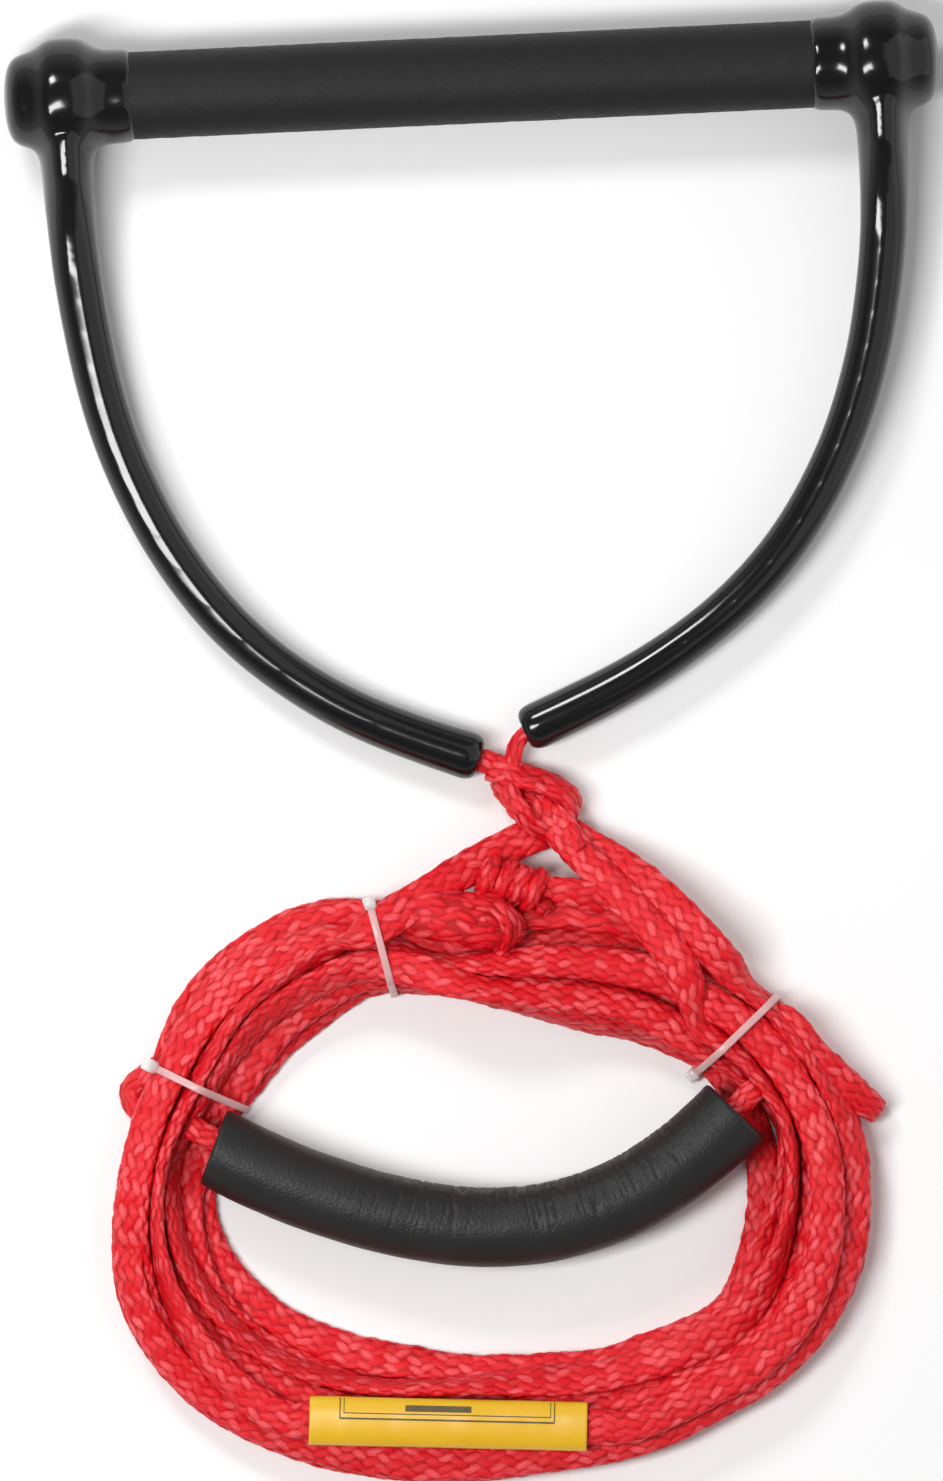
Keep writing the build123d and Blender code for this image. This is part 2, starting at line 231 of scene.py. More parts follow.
def spline_line(points, step=PATH_STEP):
    """The NURBS spline through a route's control points, read from Blender: evenly spaced points,
    and for each the place in the route's list of points that it comes from."""
    curve = bpy.data.curves.new("route", "CURVE")
    curve.dimensions = "3D"
    spline = curve.splines.new("NURBS")
    spline.points.add(len(points) - 1)
    for point, place in zip(spline.points, points):
        point.co = (place[0] * MM, place[1] * MM, place[2] * MM, 1)
    spline.order_u = 3
    spline.use_endpoint_u = True
    spline.resolution_u = 8
    obj = bpy.data.objects.new("route", curve)
    mesh = bpy.data.meshes.new_from_object(obj)
    line = np.empty(len(mesh.vertices) * 3)
    mesh.vertices.foreach_get("co", line)
    line = line.reshape(-1, 3) / MM
    bpy.data.objects.remove(obj)
    bpy.data.meshes.remove(mesh)
    count = len(points)
    knots = np.concatenate([[0], np.arange(0.5, count - 2), [count - 2]])
    index = np.interp(np.linspace(0, count - 2, len(line)), knots, np.arange(count))
    along = np.concatenate([[0], np.cumsum(np.linalg.norm(np.diff(line, axis=0), axis=1))])
    even = np.linspace(0, along[-1], max(int(round(along[-1] / step)), 4) + 1)
    return read_along(even, along, line), np.interp(even, along, index), even


# ---- the braided rope ----
def section_table():
    """The rope's unit section as a superellipse: share of the way around to X and Y."""
    angle = np.linspace(0, 2 * np.pi, 721)
    x = np.sign(np.cos(angle)) * np.abs(np.cos(angle)) ** (2 / SECTION_POWER)
    y = np.sign(np.sin(angle)) * np.abs(np.sin(angle)) ** (2 / SECTION_POWER)
    steps = np.hypot(np.diff(x) * ROPE_HALF_WIDTH, np.diff(y) * ROPE_HALF_THICK)
    around = np.concatenate([[0], np.cumsum(steps)])
    return around / around[-1], x, y, around[-1]


SECTION_AT, SECTION_X, SECTION_Y, ROPE_AROUND = section_table()


class Ribbon:
    """A rope's middle line with its width direction, half width and half thickness along it."""

    def __init__(
        self, points, sides, half_width=ROPE_HALF_WIDTH, half_thick=ROPE_HALF_THICK, seed=0,
        taper=((0, 1), (1, 1)),
    ):
        self.line, index, self.along = spline_line(points)
        self.length = self.along[-1]
        control = np.arange(len(points))
        side = read_along(index, control, np.asarray(sides))
        self.tangent = unit(np.gradient(self.line, axis=0))
        side -= self.tangent * np.sum(side * self.tangent, axis=1, keepdims=True)
        self.side = unit(side)
        self.up = np.cross(self.tangent, self.side)
        swell = 0.05 * wave(seed + 50, self.along / 60)
        size = np.interp(self.along / self.length, *zip(*taper))
        self.half_width = half_width * size * (1 + swell)
        self.half_thick = half_thick * size * (1 - swell)

    def around(self):
        """About how far it is around the rope."""
        return ROPE_AROUND * (self.half_width + self.half_thick).max() / (ROPE_HALF_WIDTH + ROPE_HALF_THICK)

    def at(self, along, around, height):
        """Points on the rope's surface, moved out by height."""
        where = np.clip(along, 0, self.length)

        def read(values):
            if values.ndim == 1:
                return np.interp(where, self.along, values)
            return read_along(where, self.along, values)

        wide, thick = read(self.half_width), read(self.half_thick)
        share = np.mod(around, 1)
        x = np.interp(share, SECTION_AT, SECTION_X)
        y = np.interp(share, SECTION_AT, SECTION_Y)
        normal_x = np.sign(x) * np.abs(x) ** (SECTION_POWER - 1) / wide
        normal_y = np.sign(y) * np.abs(y) ** (SECTION_POWER - 1) / thick
        size = np.hypot(normal_x, normal_y)
        out_x = x * wide + normal_x / size * height
        out_y = y * thick + normal_y / size * height
        return read(self.line) + read(self.side) * out_x[..., None] + read(self.up) * out_y[..., None]


def core_tube(name, ribbon, around=20):
    """The rope's closed core, a little under the crowns of its stitches."""
    rings = len(ribbon.along)
    along = np.repeat(ribbon.along[:, None], around, axis=1)
    share = np.repeat(np.arange(around)[None, :] / around, rings, axis=0)
    points = ribbon.at(along, share, np.full(along.shape, -STITCH_RELIEF)).reshape(-1, 3)
    points = np.concatenate([points, ribbon.line[:1], ribbon.line[-1:]])
    return add_mesh(name, points, tube_faces(rings, around))


def stitches(name, ribbon, seed, mess=1.0, pull=1.0):
    """The braid over the core: leaf-shaped stitches, one row right-handed, the next left-handed.
    mess is how far they are pulled about, as in a knot; pull is how far the braid is stretched."""
    rng = np.random.default_rng(seed)
    rows = int(ribbon.length / (BRAID_ROW * pull))
    in_row = max(4, round(BRAID_AROUND * ribbon.around() / ROPE_AROUND))
    row, place = np.meshgrid(np.arange(rows), np.arange(in_row), indexing="ij")
    row, place = row.ravel(), place.ravel()
    hand = np.where(row % 2 == 0, 1.0, -1.0)
    count = len(row)
    along0 = (row + 0.5) * ribbon.length / rows + rng.normal(0, 0.25 * mess, count)
    around0 = (place + 0.5 * (row % 2)) / in_row + rng.normal(0, 0.006 * mess, count)
    e = np.linspace(-1, 1, STITCH_ALONG)[None, :, None]
    f = np.linspace(-1, 1, STITCH_ACROSS)[None, None, :]
    size = (1 + rng.normal(0, 0.06 * mess, count))[:, None, None]
    roll = rng.normal(0, STITCH_ROLL, count)[:, None, None]
    bend = rng.normal(0, 0.25, count)[:, None, None]
    along_fibre = e * STITCH_LENGTH / 2 * pull * size
    leaf = 1 - 0.62 * np.abs(e) ** 1.8
    across_fibre = f * STITCH_WIDTH / 2 * leaf + bend * (e**2 - 0.4)
    turn = (hand * BRAID_ANGLE / pull + rng.normal(0, 0.04 * mess, count))[:, None, None]
    along = along0[:, None, None] + along_fibre * np.cos(turn) - across_fibre * np.sin(turn)
    sideways = along_fibre * np.sin(turn) + across_fibre * np.cos(turn)
    around = around0[:, None, None] + sideways / ribbon.around()
    dome = (1 - np.abs(f) ** 2.2) * (1 - np.abs(e) ** 2.2)
    calm = 0.5 + 0.5 * wave(seed + 7, along0 / 75)
    lift = (1 - 0.25 * calm / pull + rng.normal(0, 0.10 * mess, count))[:, None, None]
    height = -STITCH_RELIEF - STITCH_SUNK + (STITCH_RELIEF + STITCH_SUNK) * dome * lift
    height = height + roll * across_fibre
    points = ribbon.at(np.broadcast_to(along, height.shape), np.broadcast_to(around, height.shape), height)
    one = STITCH_ALONG * STITCH_ACROSS
    i, j = np.meshgrid(np.arange(STITCH_ALONG - 1), np.arange(STITCH_ACROSS - 1), indexing="ij")
    corner = (i * STITCH_ACROSS + j).ravel()
    quad = np.stack([corner, corner + STITCH_ACROSS, corner + STITCH_ACROSS + 1, corner + 1], axis=1)
    # A random number for each stitch picks those that get a painted highlight; calm stretches get fewer.
    highlight_pick = np.clip(rng.uniform(-0.1, 1.1, count) - 0.25 * (calm - 0.5), 0, 1)
    objects = []
    pieces = max(1, math.ceil(count / STITCHES_IN_PIECE))
    for piece, chosen in enumerate(np.array_split(np.arange(count), pieces)):
        faces = (np.arange(len(chosen))[:, None, None] * one + quad[None]).reshape(-1, 4)
        label = name if pieces == 1 else f"{name}_{piece + 1}"
        obj = add_mesh(label, points[chosen].reshape(-1, 3), faces.tolist())
        shape = (len(chosen), STITCH_ALONG, STITCH_ACROSS)
        highlight_picks = highlight_pick[chosen][:, None, None]
        # The colour layer holds masks: red picks the stitches with a painted highlight, and green is the
        # dome, which the material turns into painted shade at the edges and a painted highlight on the crown.
        colours = np.ones((*shape, 4))
        colours[..., 0] = highlight_picks
        colours[..., 1] = np.broadcast_to(dome, shape)
        colours[..., 2] = np.broadcast_to((f + 1) / 2, shape)
        layer = obj.data.color_attributes.new("stitch", "FLOAT_COLOR", "POINT")
        layer.data.foreach_set("color", colours.ravel())
        fibre = np.stack(
            [
                np.broadcast_to(e * STITCH_LENGTH / 2, shape) + highlight_picks * 400,
                np.broadcast_to(f * STITCH_WIDTH / 2, shape),
            ],
            axis=-1,
        ).reshape(-1, 2)
        uv = obj.data.uv_layers.new(name="fibre")
        corners = np.empty(len(obj.data.loops), int)
        obj.data.loops.foreach_get("vertex_index", corners)
        uv.data.foreach_set("uv", fibre[corners].ravel())
        objects.append(obj)
    return objects


# ---- how the coil's turns lie ----
def ray(points, angle):
    """How far an outline is from the coil's centre at an angle."""
    dx, dy = math.cos(angle), math.sin(angle)
    best = 0.0
    for (x0, y0), (x1, y1) in zip(points, points[1:] + points[:1]):
        edge_x, edge_y = x1 - x0, y1 - y0
        across = dx * edge_y - dy * edge_x
        if abs(across) < 1e-9:
            continue
        to_x, to_y = x0 - COIL_CENTRE[0], y0 - COIL_CENTRE[1]
        reach = (to_x * edge_y - to_y * edge_x) / across
        share = (to_x * dy - to_y * dx) / across
        if reach > 0 and 0 <= share <= 1:
            best = max(best, reach)
    return best


def outline_radii(points, rounds=2):
    radii = np.array([ray(points, math.radians(STATION_STEP * s)) for s in range(STATIONS)])
    for _ in range(rounds):
        radii = (np.roll(radii, 1) + 2 * radii + np.roll(radii, -1)) / 4
    return radii


class Turns:
    """One rope's turns: the station of each point, and where it starts in the coil's section.
    slots are (share of the way out, share of the way up), one for each full turn."""

    def __init__(self, first, degrees, direction, slots, seed):
        self.direction = direction
        self.count = degrees // STATION_STEP + 1
        steps = np.arange(self.count)
        self.station = (first // STATION_STEP + direction * steps) % STATIONS
        turn = steps * STATION_STEP / 360
        keys = np.array(slots)
        out = np.interp(turn, np.arange(len(keys)), keys[:, 0]) + 0.07 * wave(seed, turn)
        up = np.interp(turn, np.arange(len(keys)), keys[:, 1]) + 0.05 * wave(seed + 1, turn)
        self.out = np.clip(out, 0, 1)
        self.up = np.clip(up, 0, 1)
        self.tilt = 1.1 * wave(seed + 2, turn * 1.5)


ROPE_ONE = Turns(
    125, 2070, 1,
    [(0.5, 0.95), (0.85, 0.85), (0.95, 0.35), (0.7, 0.05), (0.55, 0.45), (0.75, 0.75), (0.85, 1.0)], 3,
)
ROPE_TWO = Turns(35, 1440, -1, [(0.25, 0.95), (0.1, 0.6), (0.08, 0.15), (0.35, 0.1), (0.75, 0.15)], 11)


def float_footprint():
    """The outline of all that the float covers as it slides, seen from above."""
    half = FLOAT_HALF_ANGLE + FLOAT_SLIDE + FLOAT_END_GAP
    points = []
    for side in (-1, 1):
        radius = FLOAT_ARC_RADIUS - side * (FLOAT_RADIUS + FLOAT_SIDE_GAP)
        for k in range(13):
            angle = -math.pi / 2 + FLOAT_TURN + side * half * (1 - k / 6)
            out_x, out_y = radius * math.cos(angle), radius * math.sin(angle)
            points.append((FLOAT_CENTRE[0] + out_x, FLOAT_CENTRE[1] + out_y))
    return points


def warning_radius(station):
    """Where the line through the warning sleeve crosses a station's ray, or None beyond its ends."""
    angle = math.radians(STATION_STEP * station)
    axis = (math.cos(WARNING_TURN), math.sin(WARNING_TURN))
    ray_x, ray_y = math.cos(angle), math.sin(angle)
    to_x = WARNING_CENTRE[0] - COIL_CENTRE[0]
    to_y = WARNING_CENTRE[1] - COIL_CENTRE[1]
    across = ray_x * axis[1] - ray_y * axis[0]
    reach = (to_x * axis[1] - to_y * axis[0]) / across
    along = (to_x * ray_y - to_y * ray_x) / across
    if reach > 0 and abs(along) <= WARNING_SIZE[0] / 2 + WARNING_SLIDE + SLEEVE_STRAIGHT:
        return reach
    return None


def closest_share(point, start, end):
    """The share of the way along start-end that is nearest to a point."""
    run = end - start
    share = np.sum((point - start) * run, axis=1) / np.maximum(np.sum(run * run, axis=1), 1e-9)
    return np.clip(share, 0, 1)


def cross2(a, b):
    return a[:, 0] * b[:, 1] - a[:, 1] * b[:, 0]


def lay_turns(ropes):
    """Lets the turns settle in the coil: each rope is a ribbon with an inner and an outer edge, which
    keeps its width, bends smoothly, sinks, and stays clear of the others and of what lies on the coil.
    Returns each rope's points and width directions."""
    inner = outline_radii(COIL_INSIDE) + COIL_INSIDE_MARGIN
    outer = outline_radii(COIL_OUTSIDE) - COIL_OUTSIDE_MARGIN
    middle = (inner + outer) / 2
    station = np.concatenate([rope.station for rope in ropes])
    out = np.concatenate([rope.out for rope in ropes])
    up = np.concatenate([rope.up for rope in ropes])
    tilt = np.concatenate([rope.tilt for rope in ropes])
    offset = (inner + (outer - inner) * 0.5 - middle)[station]
    offset = offset + (out - 0.5) * COIL_SPREAD * (outer - inner)[station]
    centre = np.stack([offset, COIL_LOWEST + COIL_RISE * up], axis=1)
    half = np.stack([np.cos(tilt), np.sin(tilt)], axis=1) * FLAT_PART / 2
    ends = np.stack([centre - half, centre + half], axis=1)
    low = (inner - middle)[station] + ROPE_HALF_THICK
    high = (outer - middle)[station] - ROPE_HALF_THICK

    # The float, the sleeve and the knots lie on the coil: (station, from, to, height), and no rope in these.
    free = []
    float_from, float_to = NO_FLOAT_STATIONS
    footprint = float_footprint()
    for s in range(STATIONS):
        reach = ray(footprint, math.radians(STATION_STEP * s))
        if reach > inner[s] - 2 and (s < float_from or s > float_to):
            free.append((s, -FAR_AWAY, reach - middle[s], UNDER_FLOAT))
        sleeve = warning_radius(s)
        if sleeve is not None:
            half_width = WARNING_SIZE[1] / 2 + SLEEVE_MARGIN
            free.append((s, sleeve - middle[s] - half_width, sleeve - middle[s] + half_width, UNDER_SLEEVE))
        if KNOT_ANGLES[0] <= s * STATION_STEP <= KNOT_ANGLES[1]:
            free.append((s, KNOT_REACH - middle[s], FAR_AWAY, UNDER_KNOTS))
    pinned = []
    first = 0
    starts, lasts = [], []
    for rope in ropes:
        starts.append(first)
        first += rope.count
        lasts.append(first - 1)
    for i in range(starts[0], starts[0] + STATIONS):
        sleeve = warning_radius(station[i])
        if sleeve is not None:
            pinned.append((i, sleeve - middle[station[i]]))
    pin_index = np.array([i for i, _ in pinned])
    pin_offset = np.array([x for _, x in pinned])

    pair_a, pair_b = [], []
    for s in range(STATIONS):
        here = np.nonzero(station == s)[0]
        for k, a in enumerate(here):
            pair_a.extend([a] * (len(here) - k - 1))
            pair_b.extend(here[k + 1:])
    pair_a, pair_b = np.array(pair_a), np.array(pair_b)
    inside = np.ones(len(station), bool)
    inside[starts] = False
    inside[lasts] = False
    inside = np.nonzero(inside)[0]
    blocks = []
    for s, r0, r1, floor in free:
        ids = np.nonzero(station == s)[0]
        ids = ids[~np.isin(ids, pin_index)]
        blocks.append((ids, r0 - ROPE_HALF_THICK, r1 + ROPE_HALF_THICK, floor - ROPE_HALF_THICK))
    tied = [np.nonzero(station == degrees // STATION_STEP)[0] for _, degrees, *_ in TIES]
    top_tie = tied[1][np.argsort(offset[tied[1]])]
    tie_out = TOP_TIE_REACH - ROPE_HALF_THICK - middle[TIES[1][1] // STATION_STEP]
    gap = 2 * ROPE_HALF_THICK
    for _ in range(RELAX_ROUNDS):
        smooth = (ends[inside - 1] + ends[inside + 1]) / 2
        ends[inside] += STRAIGHTENING * (smooth - ends[inside])
        ends[..., 1] -= SINKING
        for _ in range(2):
            one, other = ends[pair_a], ends[pair_b]
            nearest = np.full(len(pair_a), 1e9)
            share_a, share_b = np.zeros(len(pair_a)), np.zeros(len(pair_a))
            apart = np.zeros((len(pair_a), 2))
            run_a, run_b = one[:, 1] - one[:, 0], other[:, 1] - other[:, 0]
            for e in (0, 1):
                t = closest_share(one[:, e], other[:, 0], other[:, 1])
                away = one[:, e] - (other[:, 0] + t[:, None] * run_b)
                far = np.hypot(away[:, 0], away[:, 1])
                less = far < nearest
                nearest[less], share_a[less], share_b[less], apart[less] = far[less], e, t[less], away[less]
                t = closest_share(other[:, e], one[:, 0], one[:, 1])
                away = (one[:, 0] + t[:, None] * run_a) - other[:, e]
                far = np.hypot(away[:, 0], away[:, 1])
                less = far < nearest
                nearest[less], share_a[less], share_b[less], apart[less] = far[less], t[less], e, away[less]
            between = other[:, 0] - one[:, 0]
            across = cross2(run_a, run_b)
            across = np.where(np.abs(across) < 1e-9, 1e-9, across)
            cut_a, cut_b = cross2(between, run_b) / across, cross2(between, run_a) / across
            crossed = (cut_a > 0) & (cut_a < 1) & (cut_b > 0) & (cut_b < 1)
            middles = one.mean(axis=1) - other.mean(axis=1)
            middles /= np.hypot(middles[:, 0], middles[:, 1])[:, None] + 1e-6
            direction = np.where(crossed[:, None], middles, apart / np.maximum(nearest, 1e-6)[:, None])
            depth = np.clip(np.where(crossed, gap + 1, gap - nearest), 0, None)
            share_a = np.where(crossed, 0.5, share_a)
            share_b = np.where(crossed, 0.5, share_b)
            push = GIVING_WAY * depth
            norm_a = (1 - share_a) ** 2 + share_a**2
            norm_b = (1 - share_b) ** 2 + share_b**2
            for e, weight_a, weight_b in ((0, 1 - share_a, 1 - share_b), (1, share_a, share_b)):
                np.add.at(ends[:, e], pair_a, direction * (push * weight_a / norm_a)[:, None])
                np.add.at(ends[:, e], pair_b, -direction * (push * weight_b / norm_b)[:, None])
            # the float, the sleeve and the knots
            for ids, r0, r1, floor in blocks:
                point = ends[ids]
                within = (point[..., 0] > r0) & (point[..., 0] < r1) & (point[..., 1] > floor)
                down = point[..., 1] - floor
                outward = r1 - point[..., 0]
                inward = point[..., 0] - r0
                least = np.minimum(np.minimum(down, outward), inward)
                point[..., 1] -= np.where(within & (least == down), down, 0)
                point[..., 0] += np.where(within & (least == outward), outward, 0)
                point[..., 0] -= np.where(within & (least == inward), inward, 0)
                ends[ids] = point
            # each rope keeps its width
            run = ends[:, 1] - ends[:, 0]
            run *= (FLAT_PART / 2 / np.hypot(run[:, 0], run[:, 1]))[:, None]
            mids = ends.mean(axis=1)
            ends[:, 0], ends[:, 1] = mids - run, mids + run
            ends[..., 0] = np.clip(ends[..., 0], low[:, None], high[:, None])
            ends[..., 1] = np.clip(ends[..., 1], ROPE_HALF_THICK, COIL_TOP)
            # the ties: a narrow bundle, at the top one only for the inner ropes
            for ids in tied:
                ends[ids, :, 1] = np.minimum(ends[ids, :, 1], TIED_HEIGHT - ROPE_HALF_THICK)
            in_top_tie = top_tie[:TOP_TIE_ROPES]
            ends[in_top_tie, :, 0] = np.minimum(ends[in_top_tie, :, 0], tie_out)
            # the rope inside the sleeve
            for e, half in ((0, -FLAT_PART / 2), (1, FLAT_PART / 2)):
                ends[pin_index, e, 0] = pin_offset + half
                ends[pin_index, e, 1] = WARNING_Z
    print(f"coil: mean overlap {depth.mean():.3f}, worst {depth.max():.2f}, top {ends[..., 1].max():.1f}")
    angle = np.radians(STATION_STEP * station)
    radial = np.stack([np.cos(angle), np.sin(angle), np.zeros_like(angle)], axis=1)
    result = []
    for rope, a, b in zip(ropes, starts, lasts):
        inner_edge, outer_edge = ends[a:b + 1, 0], ends[a:b + 1, 1]
        mid = (inner_edge + outer_edge) / 2
        points = radial[a:b + 1] * (middle[station[a:b + 1]] + mid[:, 0])[:, None]
        points[:, 0] += COIL_CENTRE[0]
        points[:, 1] += COIL_CENTRE[1]
        points[:, 2] = mid[:, 1]
        wide = (inner_edge - outer_edge) * rope.direction
        sides = radial[a:b + 1] * wide[:, :1]
        sides[:, 2] = wide[:, 1]
        result.append((points, unit(sides)))
    return result


def flat_sides(points, roll=None):
    """Width directions of a listed stretch: level, or rolled by angles in degrees."""
    points = np.asarray(points, float)
    run = np.gradient(points, axis=0)
    level = np.cross([0, 0, 1.0], run)
    for i in range(1, len(level)):
        if np.linalg.norm(level[i]) < 0.3 * np.linalg.norm(level[i - 1]):
            level[i] = level[i - 1]
        if level[i] @ level[i - 1] < 0:
            level[i] = -level[i]
    level = unit(level)
    if roll is None:
        return level
    roll = np.radians(np.asarray(roll, float))[:, None]
    return level * np.cos(roll) + np.array([0, 0, 1.0]) * np.sin(roll)


# ---- materials ----
def new_material(name):
    material = bpy.data.materials.new(name)
    material.use_nodes = True
    nodes, links = material.node_tree.nodes, material.node_tree.links
    return material, nodes, links, nodes["Principled BSDF"]


def mix_colour(nodes, links, factor, low, high):
    mix = nodes.new("ShaderNodeMix")
    mix.data_type = "RGBA"
    for socket, value in ((mix.inputs[6], low), (mix.inputs[7], high)):
        if isinstance(value, tuple):
            socket.default_value = (*value, 1)
        else:
            links.new(value, socket)
    links.new(factor, mix.inputs[0])
    return mix.outputs[2]


def ramp(nodes, links, value, low, high):
    node = nodes.new("ShaderNodeMapRange")
    node.interpolation_type = "SMOOTHSTEP"
    node.inputs["From Min"].default_value = low
    node.inputs["From Max"].default_value = high
    links.new(value, node.inputs["Value"])
    return node.outputs["Result"]


def times(nodes, links, one, other):
    node = nodes.new("ShaderNodeMath")
    node.operation = "MULTIPLY"
    links.new(one, node.inputs[0])
    links.new(other, node.inputs[1])
    return node.outputs[0]


def noise_value(nodes, links, scale, detail=3.0, vector=None, stretch=None):
    node = nodes.new("ShaderNodeTexNoise")
    node.inputs["Scale"].default_value = scale
    node.inputs["Detail"].default_value = detail
    if vector is None:
        vector = nodes.new("ShaderNodeTexCoord").outputs["Object"]
    if stretch:
        mapping = nodes.new("ShaderNodeMapping")
        mapping.inputs["Scale"].default_value = stretch
        links.new(vector, mapping.inputs["Vector"])
        vector = mapping.outputs["Vector"]
    links.new(vector, node.inputs["Vector"])
    return node.outputs["Fac"]


def add_bump(nodes, links, shader, value, strength, distance):
    bump = nodes.new("ShaderNodeBump")
    bump.inputs["Strength"].default_value = strength
    bump.inputs["Distance"].default_value = distance
    links.new(value, bump.inputs["Height"])
    links.new(bump.outputs["Normal"], shader.inputs["Normal"])


# RED is the fibres' own colour; the deeper red below it is painted shade, at the stitches' edges and on the
# core.
RED = (0.74, 0.005, 0.013)
RED_PAINTED_SHADE = (0.40, 0.001, 0.005)
# Painted highlight: a pinkish red for the crowns of the stitches.
RED_PAINTED_HIGHLIGHT = (0.96, 0.18, 0.20)


def rope_material():
    """Glossy fibres in bundles, with painted light: a painted shade of deeper red at the stitches' edges, and
    a pinkish painted highlight along the crowns of some stitches.
    """
    material, nodes, links, shader = new_material("red_rope_stitches")
    attribute = nodes.new("ShaderNodeAttribute")
    attribute.attribute_name = "stitch"
    split = nodes.new("ShaderNodeSeparateColor")
    links.new(attribute.outputs["Color"], split.inputs["Color"])
    uv = nodes.new("ShaderNodeUVMap")
    uv.uv_map = "fibre"
    fibres = noise_value(nodes, links, 1.0, 2.0, uv.outputs["UV"], (0.30, 6.0, 1.0))
    # Painted shade: each stitch darkens towards its edges, where its dome is low.
    crest = ramp(nodes, links, split.outputs["Green"], 0.10, 0.90)
    body = mix_colour(nodes, links, crest, RED_PAINTED_SHADE, RED)
    # Painted highlight: pinkish streaks along the fibres on the crowns of randomly picked stitches.
    highlit_stitch = ramp(nodes, links, split.outputs["Red"], 0.35, 0.95)
    bright = times(nodes, links, highlit_stitch, ramp(nodes, links, fibres, 0.30, 0.72))
    painted_highlight = times(nodes, links, bright, ramp(nodes, links, split.outputs["Green"], 0.50, 0.98))
    colour = mix_colour(nodes, links, painted_highlight, body, RED_PAINTED_HIGHLIGHT)
    links.new(colour, shader.inputs["Base Color"])
    shader.inputs["Roughness"].default_value = 0.34
    shader.inputs["Specular IOR Level"].default_value = 0.7
    shader.inputs["Specular Tint"].default_value = (1.0, 0.45, 0.47, 1)
    add_bump(nodes, links, shader, fibres, 0.6, 0.00035)
    return material


def mottled(name, scale, low, high, values, detail=3.0):
    """A material whose colour drifts between two. values are its shader's constant values."""
    material, nodes, links, shader = new_material(name)
    cloud = noise_value(nodes, links, scale, detail)
    links.new(mix_colour(nodes, links, cloud, low, high), shader.inputs["Base Color"])
    for socket, value in values.items():
        shader.inputs[socket].default_value = value
    return material, nodes, links, shader, cloud


def pvc_material():
    """Dipped PVC: black, thick and glossy, with the faint unevenness of a dip."""
    material, nodes, links, shader, uneven = mottled(
        "dipped_pvc_gloss", 55.0, (0.004, 0.004, 0.0045), (0.009, 0.009, 0.010),
        {"Specular IOR Level": 0.5}, 2.0,
    )
    rough = nodes.new("ShaderNodeMapRange")
    rough.inputs["To Min"].default_value = 0.10
    rough.inputs["To Max"].default_value = 0.18
    links.new(noise_value(nodes, links, 120.0, 4.0), rough.inputs["Value"])
    links.new(rough.outputs["Result"], shader.inputs["Roughness"])
    add_bump(nodes, links, shader, uneven, 0.05, 0.0006)
    return material


def foam_material(name, dark, light, pore_scale, rough):
    """Closed-cell foam: matte, with fine pores and a slight bloom."""
    material, nodes, links, shader, _ = mottled(
        name, 40.0, dark, light, {"Roughness": rough, "Specular IOR Level": 0.30}, 4.0
    )
    cells = nodes.new("ShaderNodeTexVoronoi")
    cells.inputs["Scale"].default_value = pore_scale
    links.new(nodes.new("ShaderNodeTexCoord").outputs["Object"], cells.inputs["Vector"])
    add_bump(nodes, links, shader, cells.outputs["Distance"], 0.35, 0.0003)
    return material


def vinyl_material():
    material, nodes, links, shader, _ = mottled(
        "yellow_vinyl_sleeve", 60.0, (0.72, 0.40, 0.014), (0.79, 0.47, 0.022),
        {
            "Roughness": 0.32, "Subsurface Weight": 0.15, "Subsurface Radius": (0.004, 0.002, 0.0005),
            "Subsurface Scale": 0.5,
        },
        5.0,
    )
    add_bump(nodes, links, shader, noise_value(nodes, links, 220.0, 3.0), 0.12, 0.0004)
    return material


def nylon_material(name, low, high):
    """Natural nylon; where the strap lies on the rope the red shows through."""
    values = {
        "Roughness": 0.3, "Transmission Weight": 0.25, "Subsurface Weight": 0.3,
        "Subsurface Radius": (0.003, 0.002, 0.002),
    }
    return mottled(name, 300.0, low, high, values)[0]


STITCHED = rope_material()
# The core's deep red is painted shade in the gaps between the stitches.
CORE = mottled(
    "red_rope_core_painted_shade", 900.0, RED_PAINTED_SHADE, (0.50, 0.003, 0.009), {"Roughness": 0.6, "Specular IOR Level": 0.3}
)[0]
PVC = pvc_material()
GRIP_EVA = foam_material(
    "grip_eva_foam", (0.006, 0.006, 0.0063), (0.011, 0.011, 0.0115), 1500.0, 0.60
)
FLOAT_EVA = foam_material(
    "float_eva_foam", (0.012, 0.0112, 0.0112), (0.020, 0.0192, 0.0190), 1100.0, 0.48
)
VINYL = vinyl_material()
PRINT = mottled("printed_line", 500.0, (0.05, 0.03, 0.01), (0.14, 0.09, 0.02), {"Roughness": 0.5})[0]
NYLON = nylon_material("tie_nylon_clear", (0.72, 0.66, 0.66), (0.82, 0.77, 0.77))
STRAP = nylon_material("tie_nylon_on_rope", (0.80, 0.42, 0.42), (0.88, 0.56, 0.56))
METAL = mottled(
    "anodised_tube", 200.0, (0.55, 0.56, 0.58), (0.66, 0.67, 0.68), {"Metallic": 1.0, "Roughness": 0.35}
)[0]
PLUG = mottled("moulded_plug", 700.0, (0.02, 0.02, 0.022), (0.04, 0.04, 0.042), {"Roughness": 0.5})[0]


def paint(obj, material):
    obj.data.materials.clear()
    obj.data.materials.append(material)


def finish_piece(obj, material, body, replaces=()):
    paint(obj, material)
    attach(obj, body)
    if replaces:
        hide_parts(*replaces)
    return obj


def rope_pieces(name, ribbon, seed, replaces=(), mess=1.0, body="rope_coil", pull=1.0):
    """A core and its stitches."""
    core = core_tube(name, ribbon)
    braid = stitches(f"{name}_braid", ribbon, seed, mess, pull)
    for piece, material in [(core, CORE)] + [(piece, STITCHED) for piece in braid]:
        if body:
            finish_piece(piece, material, body)
        else:
            paint(piece, material)
    if replaces:
        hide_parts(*replaces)
    return [core, *braid]


